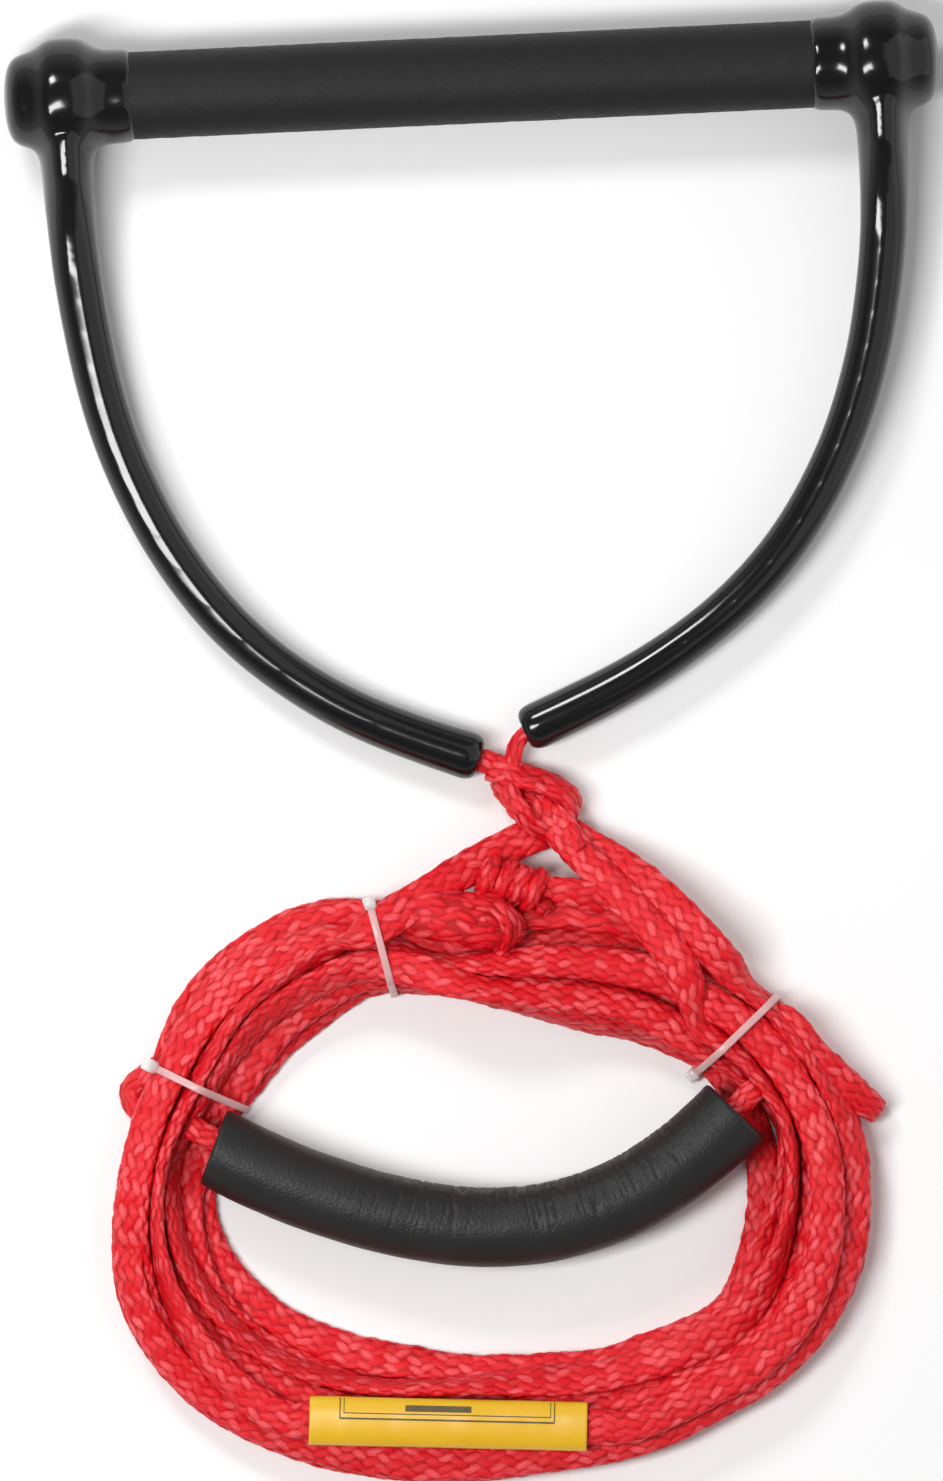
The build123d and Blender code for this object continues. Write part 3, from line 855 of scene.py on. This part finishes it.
# ---- the tow line ----
coil_one, coil_two = lay_turns([ROPE_ONE, ROPE_TWO])
one_points = np.concatenate([LEAD_LEFT, coil_one[0], LEAD_RIGHT_OUTER])
one_sides = np.concatenate([flat_sides(LEAD_LEFT), coil_one[1], flat_sides(LEAD_RIGHT_OUTER)])
two_points = np.concatenate([LEAD_RIGHT_INNER, coil_two[0], BIGHT_RIGHT])
two_sides = np.concatenate([flat_sides(LEAD_RIGHT_INNER), coil_two[1], flat_sides(BIGHT_RIGHT)])
ribbon_one = Ribbon(one_points, one_sides, seed=1)
ribbon_two = Ribbon(two_points, two_sides, seed=2, taper=BIGHT_TAPER)
print(f"tow line: {ribbon_one.length:.0f} and {ribbon_two.length:.0f} mm")
line_one = rope_pieces(
    "tow_line_a", ribbon_one, 21, ["coil_bundle", "lead_left", "lead_right_outer", "sleeve_strand"]
)
line_two = rope_pieces("tow_line_b", ribbon_two, 22, ["lead_right_inner", "end_loop_right"])


# ---- knots, stubs and tails: short stretches of the same rope, laid one by one ----
def wrap_sides(points, centre):
    """Width directions of rope that lies flat on a lump round a centre."""
    points = np.asarray(points, float)
    run = np.gradient(points, axis=0)
    return unit(np.cross(np.asarray(centre) - points, run))


def wrapped(name, points, centre, seed, half_width=4.6, half_thick=2.3, mess=2.5):
    ribbon = Ribbon(points, wrap_sides(points, centre), half_width, half_thick, seed)
    return rope_pieces(name, ribbon, seed, mess=mess)


def barrel(centre, axis, radius, pitch, turns, steps=14):
    """A rope wound tightly round itself: the points of a helix along a level axis."""
    axis = unit(np.array(axis, float))
    sideways = unit(np.cross(axis, [0, 0, 1.0]))
    upward = np.cross(sideways, axis)
    points = []
    for k in range(int(turns * steps) + 1):
        angle = 2 * math.pi * k / steps
        along = pitch * (k / steps - turns / 2)
        points.append(
            np.array(centre) + axis * along + radius * (sideways * math.cos(angle) + upward * math.sin(angle))
        )
    return points


def lump(name, points, sides, half_width, half_thick, taper, seed, mess=2.2):
    """A tightened part of a knot: one fat stretch of braid with rounded ends."""
    ribbon = Ribbon(points, sides, half_width, half_thick, seed, taper)
    return rope_pieces(name, ribbon, seed, mess=mess)


ROUNDED = (
    (0, 0.25), (0.06, 0.62), (0.16, 0.88), (0.35, 1), (0.7, 1), (0.86, 0.88), (0.95, 0.62), (1, 0.25),
)

MAIN_KNOT = (12.5, -131.5, 7.5)
# The strand that comes from the left leg, over the knot's top and down to the lip on its right.
MAIN_CROWN = [
    (-4, -120.8, 6.0), (1.5, -121.8, 8.4), (8, -124.2, 10.4), (14.5, -126.6, 11.8), (19.6, -129.6, 12.2),
    (22.8, -133.2, 10.6), (22.0, -136.5, 7.4), (17.5, -137.5, 5.0), (10, -134.5, 4.8),
]
# The band that is pulled down its left side.
MAIN_BAND = [
    (-1.5, -122.5, 4.5), (-0.8, -125.5, 9.5), (2.0, -130.5, 13.0), (5.5, -136, 14.0), (9.5, -141, 12.0),
    (13, -144.5, 8.0),
]
# The strand that comes out from under the lip and leaves to the lower right.
MAIN_THROAT = [
    (9, -126.5, 5), (11.5, -129.5, 10), (14.2, -134, 12.6), (16.5, -139.5, 12.6), (18.8, -144.5, 12.6),
    (23, -150, 14),
]
MAIN_HEART = [(4, -125, 6.5), (9.5, -129.5, 7.2), (15, -135.5, 7.2), (18.5, -140.5, 6.5)]

KNOT_B = (-14, -171, 16)
KNOT_B_HEART = [
    (-43, -164.5, 16), (-33, -165.5, 18), (-22, -167.5, 19), (-11, -170, 19), (-2, -172, 18.5),
    (5, -173.5, 17.5),
]
KNOT_B_END = [
    (-13, -163, 20), (-7, -163.8, 24.0), (-1.5, -167.5, 26.0), (1, -173, 24.5), (-0.5, -178, 19.5),
    (-4, -180, 15),
]
KNOT_A = (2.6, -159.0, 16.0)
KNOT_A_AXIS = (0.95, -0.31, 0)
KNOT_A_TAIL = [(10, -161, 16), (19, -162, 17.5), (29, -164, 16.5), (40, -168, 13), (51, -173, 10)]
# A strand that runs from behind the first knot, stretched tight, to the coil's right side.
KNOT_A_STRAND = [
    (-6, -168.5, 12), (8, -168, 13.5), (22, -168.5, 14), (36, -171.5, 13), (50, -178, 11), (63, -188, 10),
]

main_knot = lump(
    "main_knot_heart", MAIN_HEART, flat_sides(MAIN_HEART), 8.6, 5.6,
    ((0, 0.7), (0.25, 0.95), (0.6, 1), (0.85, 0.8), (1, 0.5)), 30,
)
main_knot += wrapped("main_knot_throat", MAIN_THROAT, MAIN_KNOT, 32, 5.6, 2.4, 2.2)
main_knot += wrapped("main_knot_crown", MAIN_CROWN, MAIN_KNOT, 31, 5.9, 2.4, 1.8)
main_knot += wrapped("main_knot_band", MAIN_BAND, MAIN_KNOT, 33, 5.0, 2.4, 1.8)
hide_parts("bridle_knot")

knot_b = lump("takeoff_knot_b_heart", KNOT_B_HEART, flat_sides(KNOT_B_HEART), 8.8, 6.2, ROUNDED, 34, 3.0)
knot_b += wrapped("takeoff_knot_b_end", KNOT_B_END, KNOT_B, 35, 4.6, 2.2, 2.6)
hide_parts("takeoff_knot_b")

twist = barrel(KNOT_A, KNOT_A_AXIS, 5.3, 5.3, 4.2)
knot_a = rope_pieces(
    "takeoff_knot_a_twist", Ribbon(twist, wrap_sides(twist, KNOT_A), 3.5, 2.6, 36), 36, mess=2.4
)
knot_a += rope_pieces(
    "takeoff_knot_a_tail", Ribbon(KNOT_A_TAIL, flat_sides(KNOT_A_TAIL, [15] * 5), 5.6, 2.6, 37), 37
)
knot_a += rope_pieces(
    "takeoff_knot_a_strand", Ribbon(KNOT_A_STRAND, flat_sides(KNOT_A_STRAND), 6.2, 2.4, 39), 39, pull=1.5
)
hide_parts("takeoff_knot_a")

tail = Ribbon(TAIL_FOLD, flat_sides(TAIL_FOLD, [50] * len(TAIL_FOLD)), 5.0, 2.4, 36)
tail_left = rope_pieces("tail_left", tail, 36, ["rope_tail_left"], 1.5)


# The rope that comes out of each dipped leg: it bends at the fold between handle and knot.
STUB_LEFT = [
    (-40, -104.5, 9.4), (-22, -112, 9), (-13, -115.5, 8.6), (-5.5, -118.2, 8.3), (0, -120.6, 8.2),
    (5, -123.2, 8.5),
]
STUB_RIGHT = [
    (36, -96.5, 9.6), (17, -105, 9), (10.5, -107.8, 8.8), (5.8, -110.6, 8.5), (3.6, -115.2, 8.3),
    (3.2, -119.5, 8.2), (4.2, -124, 8),
]
for side, points, half_width, half_thick, pull in (
    ("left", STUB_LEFT, 4.3, 2.7, 1.0),
    ("right", STUB_RIGHT, 3.1, 2.4, 1.6),
):
    stub = Ribbon(points, flat_sides(points), half_width, half_thick, 37)
    pieces = rope_pieces(f"bridle_stub_{side}", stub, 37, [f"bridle_rope_{side}"], body=None, pull=pull)
    for piece in pieces:
        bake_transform(piece)


# ---- the dipped handle: boots and bridle legs ----
# Routes of the legs in the handle's own sloping plane, as in the CAD model.
LEGS = {
    "left": [
        (-133, -12), (-132.7, -44), (-129.8, -72), (-124.9, -100.5), (-117, -125.5),
        (-104.3, -152), (-85.7, -177.2), (-61.5, -197.2), (-34, -212), (-7, -221.8),
    ],
    "right": [
        (133, -12), (133.2, -44), (130.4, -70), (125, -97), (115.2, -124.8),
        (99.2, -152.5), (79, -174.4), (53.2, -192.3), (29, -204.6), (6.8, -213.4),
    ],
}
# Half the width of a leg, at shares of its length from boot to tip.
LEG_RADII = {
    "left": [(0, 9.4), (0.06, 8.5), (0.14, 8.0), (0.45, 7.6), (0.75, 7.4), (0.92, 7.8), (1, 8.2)],
    "right": [(0, 9.2), (0.06, 8.2), (0.14, 7.8), (0.45, 7.2), (0.75, 7.2), (0.92, 7.8), (1, 7.9)],
}
# The boot's profile: distance from the bar's middle, and radius.
BOOT_PROFILE = [
    (110.3, 13.9), (110.5, 15.0), (111.5, 15.35), (114, 15.4), (119, 15.5), (121.5, 15.9), (123.5, 16.9),
    (125.5, 18.5), (127.5, 19.5), (130, 19.9), (133, 20.0), (136.8, 19.9), (139.2, 19.1), (141.2, 17.4),
    (143.2, 16.2), (145.5, 15.5), (147.8, 14.9), (149.8, 13.5), (151.2, 11.0), (152, 7.5), (152.4, 3.5),
    (152.5, 0.3),
]
BOOT_ENDS = (110.3, 152.5)
DIP_VOXEL = 0.62
# How much higher than wide a leg is, at distances from the bar: the dip runs into the boot in a slope.
LEG_HEIGHT = ((0, 1.9), (14, 1.9), (22, 1.55), (32, 1.2), (44, 1.0))
# The tip's rings: distance from the leg's end, and share of its radius. The last two are a dimple.
LEG_TIP = [
    (-5.0, 1.0), (-3.4, 0.985), (-2.2, 0.94), (-1.2, 0.86), (-0.5, 0.75), (-0.1, 0.64), (0, 0.5),
    (-0.4, 0.42), (-2.5, 0.36),
]


def on_slope(x, y):
    """A point of the handle's sloping plane."""
    return (x, BAR_Y + y * math.cos(HANDLE_TILT), BAR_Z + y * math.sin(HANDLE_TILT))


def leg_tube(side):
    """The leg as a closed tube with a rounded tip and a dimple where the rope comes out."""
    line, _, along = spline_line([on_slope(*point) for point in LEGS[side]], 1.0)
    length = along[-1]
    shares, sizes = zip(*LEG_RADII[side])
    stations = [(s, np.interp(s / length, shares, sizes)) for s in np.arange(0, length - 5.5, 1.0)]
    stations += [(length + back, sizes[-1] * share) for back, share in LEG_TIP]
    around = 72
    angle = np.arange(around) / around * 2 * np.pi
    tangent = unit(np.gradient(line, axis=0))
    points = []
    for s, radius in stations:
        middle = read_along(s, along, line)
        forward = unit(read_along(s, along, tangent))
        sideways = unit(np.cross(forward, [0, 0, 1.0]))
        upward = np.cross(sideways, forward)
        swell = 1 + 0.010 * noise.noise((s / 31, 3.1, 7.7))
        height = radius * np.interp(s, *zip(*LEG_HEIGHT))
        ring = radius * np.cos(angle)[:, None] * sideways + height * np.sin(angle)[:, None] * upward
        points.append(middle + ring * swell)
    points = np.concatenate([*points, line[:1], [read_along(length - 3.0, along, line)]])
    return points, tube_faces(len(stations), around)


def boot_solid(side):
    """The boot as a closed solid, turned about the bar, with the ragged edge that dipping leaves."""
    sign = -1 if side == "left" else 1
    around = 96
    profile = np.array(BOOT_PROFILE)
    fine = np.linspace(0, len(profile) - 1, 90)
    reach = np.interp(fine, np.arange(len(profile)), profile[:, 0])
    radius = np.interp(fine, np.arange(len(profile)), profile[:, 1])
    points = []
    for x, r in zip(reach, radius):
        for k in range(around):
            angle = 2 * math.pi * k / around
            place = (math.cos(angle), math.sin(angle), sign * 3)
            ragged = 0.9 * noise.noise([c * 2.2 for c in place])
            ragged = ragged + 0.35 * noise.noise([c * 7 for c in place])
            edge = max(0.0, 1 - (x - 110) / 4)
            swell = 1 + 0.010 * noise.noise((place[0] * 1.5, place[1] * 1.5, x / 14 + sign * 5))
            out_y, out_z = math.cos(angle) * r * swell, math.sin(angle) * r * swell
            points.append((sign * (x + ragged * edge), BAR_Y + out_y, BAR_Z + out_z))
    points += [(sign * end, BAR_Y, BAR_Z) for end in BOOT_ENDS]
    return np.array(points), tube_faces(len(reach), around)


def relax_mesh(obj, weight, rounds):
    """Moves each point towards the mean of its neighbours, by its weight."""
    mesh = obj.data
    count = len(mesh.vertices)
    points = np.empty(count * 3)
    mesh.vertices.foreach_get("co", points)
    points = points.reshape(-1, 3)
    pairs = np.empty(len(mesh.edges) * 2, int)
    mesh.edges.foreach_get("vertices", pairs)
    a, b = pairs.reshape(-1, 2).T
    share = np.bincount(a, minlength=count) + np.bincount(b, minlength=count)
    weights = weight(points / MM)[:, None]
    for _ in range(rounds):
        total = np.stack(
            [
                np.bincount(a, points[b, k], count) + np.bincount(b, points[a, k], count)
                for k in range(3)
            ],
            axis=1,
        )
        points += weights * (total / share[:, None] - points)
    mesh.vertices.foreach_set("co", points.ravel())
    mesh.update()


def remeshed(obj, voxel):
    """The mesh after a voxel remesh, which joins solids that overlap into one skin."""
    modifier = obj.modifiers.new("remesh", "REMESH")
    modifier.mode = "VOXEL"
    modifier.voxel_size = voxel * MM
    modifier.use_smooth_shade = True
    evaluated = obj.evaluated_get(bpy.context.evaluated_depsgraph_get())
    mesh = bpy.data.meshes.new_from_object(evaluated)
    obj.modifiers.clear()
    old = obj.data
    obj.data = mesh
    bpy.data.meshes.remove(old)
    return obj


def dipped_side(side):
    leg_points, leg_faces = leg_tube(side)
    boot_points, boot_faces = boot_solid(side)
    faces = leg_faces + [tuple(i + len(leg_points) for i in face) for face in boot_faces]
    obj = add_mesh(f"dipped_boot_and_leg_{side}", np.concatenate([leg_points, boot_points]), faces)
    remeshed(obj, DIP_VOXEL)
    joint = np.array([LEGS[side][0][0], BAR_Y - 17.5, BAR_Z - 0.9])

    def near_joint(points):
        """All of it a little, and most where the leg runs into the boot."""
        from_axis = np.hypot(*(points - joint)[:, [0, 2]].T)
        far = np.abs(from_axis - 8.5) + 0.8 * np.abs(points[:, 1] - joint[1] + 1)
        return np.clip(1.25 - far / 7, 0.0, 0.9)

    relax_mesh(obj, lambda points: np.full(len(points), 0.55), 8)
    relax_mesh(obj, near_joint, 60)
    relax_mesh(obj, lambda points: np.full(len(points), 0.5), 26)
    return finish_piece(obj, PVC, "handle", [f"end_boot_{side}", f"bridle_sleeve_{side}"])


for side in LEGS:
    dipped_side(side)


# ---- the foam grip and the float ----
UPWARD = np.array([0, 0, 1.0])
GRIP_BORE = 11.0


def revolved_tube(name, stations, around, bore):
    """A closed tube: stations are (middle, sideways, upward, radius for each angle)."""
    outside, inside = [], []
    angle = np.arange(around) / around * 2 * np.pi
    for middle, sideways, upward, radius in stations:
        ring = np.cos(angle)[:, None] * sideways + np.sin(angle)[:, None] * upward
        outside.append(middle + ring * radius[:, None])
        inside.append(middle + ring * bore)
    points = np.concatenate(outside + inside[::-1])
    return add_mesh(name, points, grid_faces(2 * len(stations), around, closed_rings=True))


def foam_grip():
    around, count = 160, 300
    angle = np.arange(around) / around * 2 * np.pi
    stations = []
    for k in range(count + 1):
        x = GRIP_HALF * (2 * k / count - 1)
        skin = [
            0.10 * noise.noise((x / 5, math.cos(a) * 3, math.sin(a) * 3))
            + 0.05 * noise.noise((x / 1.6, math.cos(a) * 9, math.sin(a) * 9))
            for a in angle
        ]
        middle = np.array([x, BAR_Y, BAR_Z])
        stations.append((middle, np.array([0, 1.0, 0]), UPWARD, GRIP_RADIUS + np.array(skin)))
    grip = revolved_tube("grip_foam_skin", stations, around, GRIP_BORE)
    finish_piece(grip, GRIP_EVA, "handle", ["grip_foam"])


def crease(x, a, seed):
    """How deep the foam is creased at a place: ragged rings round the inside of the bend."""
    warp = 1.6 * noise.noise((x / 7, a * 1.3, seed)) + 0.5 * noise.noise((x / 2.2, a * 4, seed + 4))
    ring = abs(noise.noise(((x + warp) / 2.3, 0.35 * a, seed + 9)))
    sharp = max(0.0, 1 - ring / 0.16) ** 1.5
    here = noise.noise((x / 9, a * 2, seed + 20)) * 0.5 + 0.65
    return sharp * max(0.0, here)


def float_line(half_angle, count):
    """The middle line of the bent foam, and its outward directions."""
    line = []
    for k in range(count + 1):
        turn = half_angle * (2 * k / count - 1)
        bend = turn + FLOAT_TURN - math.pi / 2
        reach = FLOAT_ARC_RADIUS + np.interp(math.degrees(turn), *zip(*FLOAT_SWAY))
        x, y = reach * math.cos(bend), reach * math.sin(bend)
        line.append((FLOAT_CENTRE[0] + x, FLOAT_CENTRE[1] + y, FLOAT_Z))
    line = np.array(line)
    for _ in range(int(count * 0.4)):
        line[1:-1] = (line[:-2] + 2 * line[1:-1] + line[2:]) / 4
    return line, unit(np.cross(np.gradient(line, axis=0), [0, 0, 1.0]))


def bent_float():
    around, count = 144, 340
    angle = np.arange(around) / around * 2 * np.pi
    line, outward = float_line(FLOAT_HALF_ANGLE, count)
    stations = []
    ends = FLOAT_END_ROUNDING
    length = 2 * FLOAT_HALF_ANGLE * FLOAT_ARC_RADIUS
    for k in range(count + 1):
        share = k / count
        along = share * length
        from_end = min(along, length - along)
        rounding = 0.0 if from_end > ends else ends - math.sqrt(ends**2 - (ends - from_end) ** 2)
        radius = []
        for a in angle:
            inner_side = max(0.0, -math.cos(a) * 0.75 + math.sin(a) * 0.55)
            middle_part = max(0.0, 1 - abs(share - 0.62) / 0.40)
            depth = FLOAT_CREASE * inner_side**1.2 * middle_part**0.6
            dip = depth * crease(along, a, 5.0) if depth > 0.02 else 0.0
            skin = 0.12 * noise.noise((along / 9, math.cos(a) * 2, math.sin(a) * 2))
            radius.append(FLOAT_RADIUS - rounding - dip + skin)
        cut = FLOAT_CUT * max(0.0, 1 - along / 22)
        onward = np.array([-outward[k][1], outward[k][0], 0])
        sideways = outward[k] * math.cos(cut) + onward * math.sin(cut)
        stations.append((line[k], sideways, UPWARD, np.array(radius)))
    foam = revolved_tube("float_foam_skin", stations, around, FLOAT_BORE)
    finish_piece(foam, FLOAT_EVA, "float", ["float_foam"])
    return foam


foam_grip()
float_foam = bent_float()

# The strand that the float is threaded on, tucked into the coil at both ends.
STRAND_POINTS = float_line(FLOAT_HALF_ANGLE + math.radians(4.5), 14)[0]
strand = Ribbon(STRAND_POINTS, flat_sides(STRAND_POINTS), 4.4, 3.2, 38)
float_strand = rope_pieces("float_strand_rope", strand, 38, ["float_strand"])


# ---- the yellow sleeve ----
WARNING_AXIS = np.array([math.cos(WARNING_TURN), math.sin(WARNING_TURN), 0])
WARNING_ACROSS = np.array([-math.sin(WARNING_TURN), math.cos(WARNING_TURN), 0])
SLEEVE_WALL = 0.8
SLEEVE_AROUND = 42  # millimetres round the sleeve


def sleeve_point(along, share, height):
    """A point on the flattened sleeve: along it, share of the way around from its edge, and out."""
    half_width, half_thick = WARNING_SIZE[1] / 2, WARNING_SIZE[2] / 2
    angle = 2 * math.pi * share
    x, y = squared_circle(angle, 0.8)
    dent = 0.25 * noise.noise((along / 16, share * 3, 4.2)) + 0.12 * noise.noise((along / 6, share * 6, 1.2))
    out_x = x * (half_width + height + 0.4 * dent)
    out_z = y * (half_thick + height + dent)
    centre = np.array([*WARNING_CENTRE, WARNING_Z])
    return centre + WARNING_AXIS * along + WARNING_ACROSS * out_x + UPWARD * out_z


def yellow_sleeve():
    around, count = 96, 120
    half = WARNING_SIZE[0] / 2
    places = [half * (2 * k / count - 1) for k in range(count + 1)]
    rings = [[sleeve_point(x, k / around, 0) for k in range(around)] for x in places]
    rings += [[sleeve_point(x, k / around, -SLEEVE_WALL) for k in range(around)] for x in reversed(places)]
    points = np.concatenate(rings)
    sleeve = add_mesh("yellow_sleeve_skin", points, grid_faces(len(rings), around, closed_rings=True))
    return finish_piece(sleeve, VINYL, "sleeve", ["warning_sleeve"])


def printed_line(name, start, end, width):
    """A thin raised line on the sleeve from one (along, share) to another."""
    steps = max(2, int(math.hypot(end[0] - start[0], (end[1] - start[1]) * 40) / 0.8))
    lengthwise = abs(end[0] - start[0]) > 1
    points = []
    for k in range(steps + 1):
        along = start[0] + (end[0] - start[0]) * k / steps
        share = start[1] + (end[1] - start[1]) * k / steps
        for side, height in ((-1, 0.07), (1, 0.07), (1, -0.1), (-1, -0.1)):
            if lengthwise:
                points.append(sleeve_point(along, share + side * width / 2 / SLEEVE_AROUND, height))
            else:
                points.append(sleeve_point(along + side * width / 2, share, height))
    faces = grid_faces(steps + 1, 4) + [(3, 2, 1, 0), tuple(steps * 4 + k for k in range(4))]
    line = add_mesh(name, points, faces, smooth=False)
    return finish_piece(line, PRINT, "sleeve")


def print_on_sleeve():
    """A plain double-line frame with one plain bar, in place of the printed label."""
    lines = []
    for name, inset, width in (("outer", 0.0, 0.40), ("inner", 1.3, 0.28)):
        left, right = -35.3 + inset, 34.6 - inset
        low, high = 0.236 - inset / SLEEVE_AROUND, 0.055
        for part, start, end in (
            ("long", (left, low), (right, low)),
            ("left", (left, low), (left, high)),
            ("right", (right, low), (right, high)),
        ):
            lines.append(printed_line(f"print_frame_{name}_{part}", start, end, width))
    lines.append(printed_line("print_bar", (-14.0, 0.160), (7.5, 0.160), 2.2))
    return lines


sleeve_pieces = [yellow_sleeve(), *print_on_sleeve()]


# ---- the cable ties ----
def hull(points):
    """The convex outline of points in a plane, counterclockwise."""
    ordered = sorted(set(map(tuple, points)))

    def half(run):
        chain = []
        for p in run:
            while len(chain) > 1 and (
                (chain[-1][0] - chain[-2][0]) * (p[1] - chain[-2][1])
                - (chain[-1][1] - chain[-2][1]) * (p[0] - chain[-2][0])
            ) <= 0:
                chain.pop()
            chain.append(p)
        return chain[:-1]

    return np.array(half(ordered) + half(ordered[::-1]))


def tied_outline(middle, across, forward, reach):
    """The outline of the ropes that pass a tie's plane, in (across, up)."""
    found = []
    for ribbon in (ribbon_one, ribbon_two):
        from_middle = ribbon.line - middle
        from_middle[:, 2] = 0
        near = (np.abs(from_middle @ forward) < 1.3) & (np.abs(from_middle @ across) < reach)
        for i in np.nonzero(near)[0]:
            for share in np.arange(0, 1, 1 / 24):
                place = ribbon.at(ribbon.along[i], np.array(share), np.array(0.0))
                found.append(((place - middle) @ across, place[2]))
    return hull(found)


def strap(name, middle, angle, reach, head_at):
    """A tie's band round the ropes it holds, and its head."""
    across = np.array([math.cos(math.radians(angle)), math.sin(math.radians(angle)), 0])
    forward = np.array([-across[1], across[0], 0])
    middle = np.array([*middle, 0.0])
    outline = tied_outline(middle, across, forward, reach)
    centre = outline.mean(axis=0)
    angles = np.linspace(0, 2 * np.pi, 120, endpoint=False)
    edges = np.roll(outline, -1, axis=0) - outline
    reach_at = []
    for a in angles:
        ray_dir = np.array([math.cos(a), math.sin(a)])
        den = ray_dir[0] * edges[:, 1] - ray_dir[1] * edges[:, 0]
        to = outline - centre
        den = np.where(np.abs(den) < 1e-9, 1e-9, den)
        t = (to[:, 0] * edges[:, 1] - to[:, 1] * edges[:, 0]) / den
        u = (to[:, 0] * ray_dir[1] - to[:, 1] * ray_dir[0]) / den
        reach_at.append(t[(u >= -1e-6) & (u <= 1 + 1e-6) & (t > 0)].max())
    reach_at = np.array(reach_at)
    for _ in range(3):
        reach_at = (np.roll(reach_at, 1) + 2 * reach_at + np.roll(reach_at, -1)) / 4
    loop = centre + np.stack([np.cos(angles), np.sin(angles)], axis=1) * (reach_at + 0.15)[:, None]
    loop[:, 1] = np.maximum(loop[:, 1], 0.05)
    normal = unit(np.stack([loop_slope(loop[:, 1]), -loop_slope(loop[:, 0])], axis=1))
    points = []
    for (x, z), (nx, nz) in zip(loop, normal):
        for side, out in TIE_SECTION:
            place = middle + across * (x + nx * out) + forward * side * TIE_HALF_WIDTH
            points.append((place[0], place[1], max(z + nz * out, 0.0)))
    band = add_mesh(f"{name}_strap", points, grid_faces(len(loop), len(TIE_SECTION), closed_rings=True))
    finish_piece(band, STRAP, "rope_coil", [name])
    # the head, a rounded block
    index = int(np.argmax(loop @ np.array([math.cos(head_at), math.sin(head_at)])))
    x, z = loop[index]
    nx, nz = normal[index]
    out = across * nx + np.array([0, 0, nz])
    along = np.cross(forward, out)
    head_centre = middle + across * (x + nx * TIE_HEAD_OUT) + np.array([0, 0, z + nz * TIE_HEAD_OUT])
    half_wide, half_long, half_high = TIE_HEAD
    ring = []
    for share, size in TIE_HEAD_RINGS:
        for k in range(TIE_HEAD_AROUND):
            px, py = squared_circle(2 * math.pi * k / TIE_HEAD_AROUND, 0.45)
            px, py = px * size, py * size
            ring.append(
                head_centre + out * share * half_high + forward * px * half_wide + along * py * half_long
            )
    points = np.array(ring + [head_centre - out * half_high, head_centre + out * half_high])
    points[:, 2] += max(0.0, TIE_HEAD_LOWEST - points[:, 2].min())
    head = add_mesh(f"{name}_head", points, tube_faces(len(TIE_HEAD_RINGS), TIE_HEAD_AROUND))
    finish_piece(head, NYLON, "rope_coil")
    return [band, head]


ties = []
for name, _, place, angle, reach, head_at in TIES:
    ties += strap(name, place, angle, reach, math.radians(head_at))

# ---- CAD pieces that stay: the tube and its plugs ----
for node, material in (("bar_tube", METAL), ("end_plug_left", PLUG), ("end_plug_right", PLUG)):
    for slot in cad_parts[node].material_slots:
        slot.material = material

# ---- stage: floor, lights, camera ----
FLOOR_HALF = 3000
LIT_POINT = (0, -0.1, 0)
CAMERA_PLACE = (-0.010, -0.1111)
CAMERA_DISTANCE = 4.0
CAMERA_VIEW = 0.4837  # metres from the picture's top to its bottom
CAMERA_TURN = math.radians(-2.675)
SENSOR_HEIGHT = 24


def add_area(name, place, width, power, height):
    light = bpy.data.lights.new(name, "AREA")
    light.shape = "RECTANGLE"
    light.size = width
    light.size_y = height
    light.energy = power
    obj = bpy.data.objects.new(name, light)
    bpy.context.collection.objects.link(obj)
    obj.location = place
    direction = np.array(LIT_POINT) - np.array(place)
    obj.rotation_euler = Vector(direction.tolist()).to_track_quat("-Z", "Y").to_euler()


def build_stage():
    corners = [(x * FLOOR_HALF, y * FLOOR_HALF, 0) for x, y in ((-1, -1), (1, -1), (1, 1), (-1, 1))]
    floor = add_mesh("floor", corners, [(0, 1, 2, 3)])
    material, _, _, shader = new_material("floor_paper")
    shader.inputs["Base Color"].default_value = (0.90, 0.90, 0.90, 1)
    shader.inputs["Roughness"].default_value = 0.9
    floor.data.materials.append(material)
    add_area("key_softbox", (-0.46, -0.25, 1.2), 0.26, 12.6, 0.7)
    add_area("upper_softbox", (-0.5, 0.85, 1.1), 0.3, 7.2, 0.3)
    add_area("right_fill", (1.6, 0.1, 1.5), 3.2, 18.5, 3.2)
    # The studio's walls are pale and its ceiling is dark.
    world = bpy.data.worlds.new("studio")
    world.use_nodes = True
    nodes, links = world.node_tree.nodes, world.node_tree.links
    height = nodes.new("ShaderNodeSeparateXYZ")
    links.new(nodes.new("ShaderNodeTexCoord").outputs["Generated"], height.inputs["Vector"])
    paleness = nodes.new("ShaderNodeMapRange")
    for socket, value in (("From Min", 0.05), ("From Max", 0.60), ("To Min", 0.62), ("To Max", 0.09)):
        paleness.inputs[socket].default_value = value
    links.new(height.outputs["Z"], paleness.inputs["Value"])
    links.new(paleness.outputs["Result"], nodes["Background"].inputs["Strength"])
    nodes["Background"].inputs["Color"].default_value = (1, 1, 1, 1)
    bpy.context.scene.world = world


def build_camera():
    camera = bpy.data.cameras.new("camera")
    camera.sensor_fit = "VERTICAL"
    camera.sensor_height = SENSOR_HEIGHT
    camera.lens = SENSOR_HEIGHT * CAMERA_DISTANCE / CAMERA_VIEW
    obj = bpy.data.objects.new("camera", camera)
    bpy.context.collection.objects.link(obj)
    obj.location = (*CAMERA_PLACE, CAMERA_DISTANCE + 0.012)
    obj.rotation_euler = (0, 0, CAMERA_TURN)
    bpy.context.scene.camera = obj


build_stage()
build_camera()
bpy.context.scene.view_settings.view_transform = "Standard"
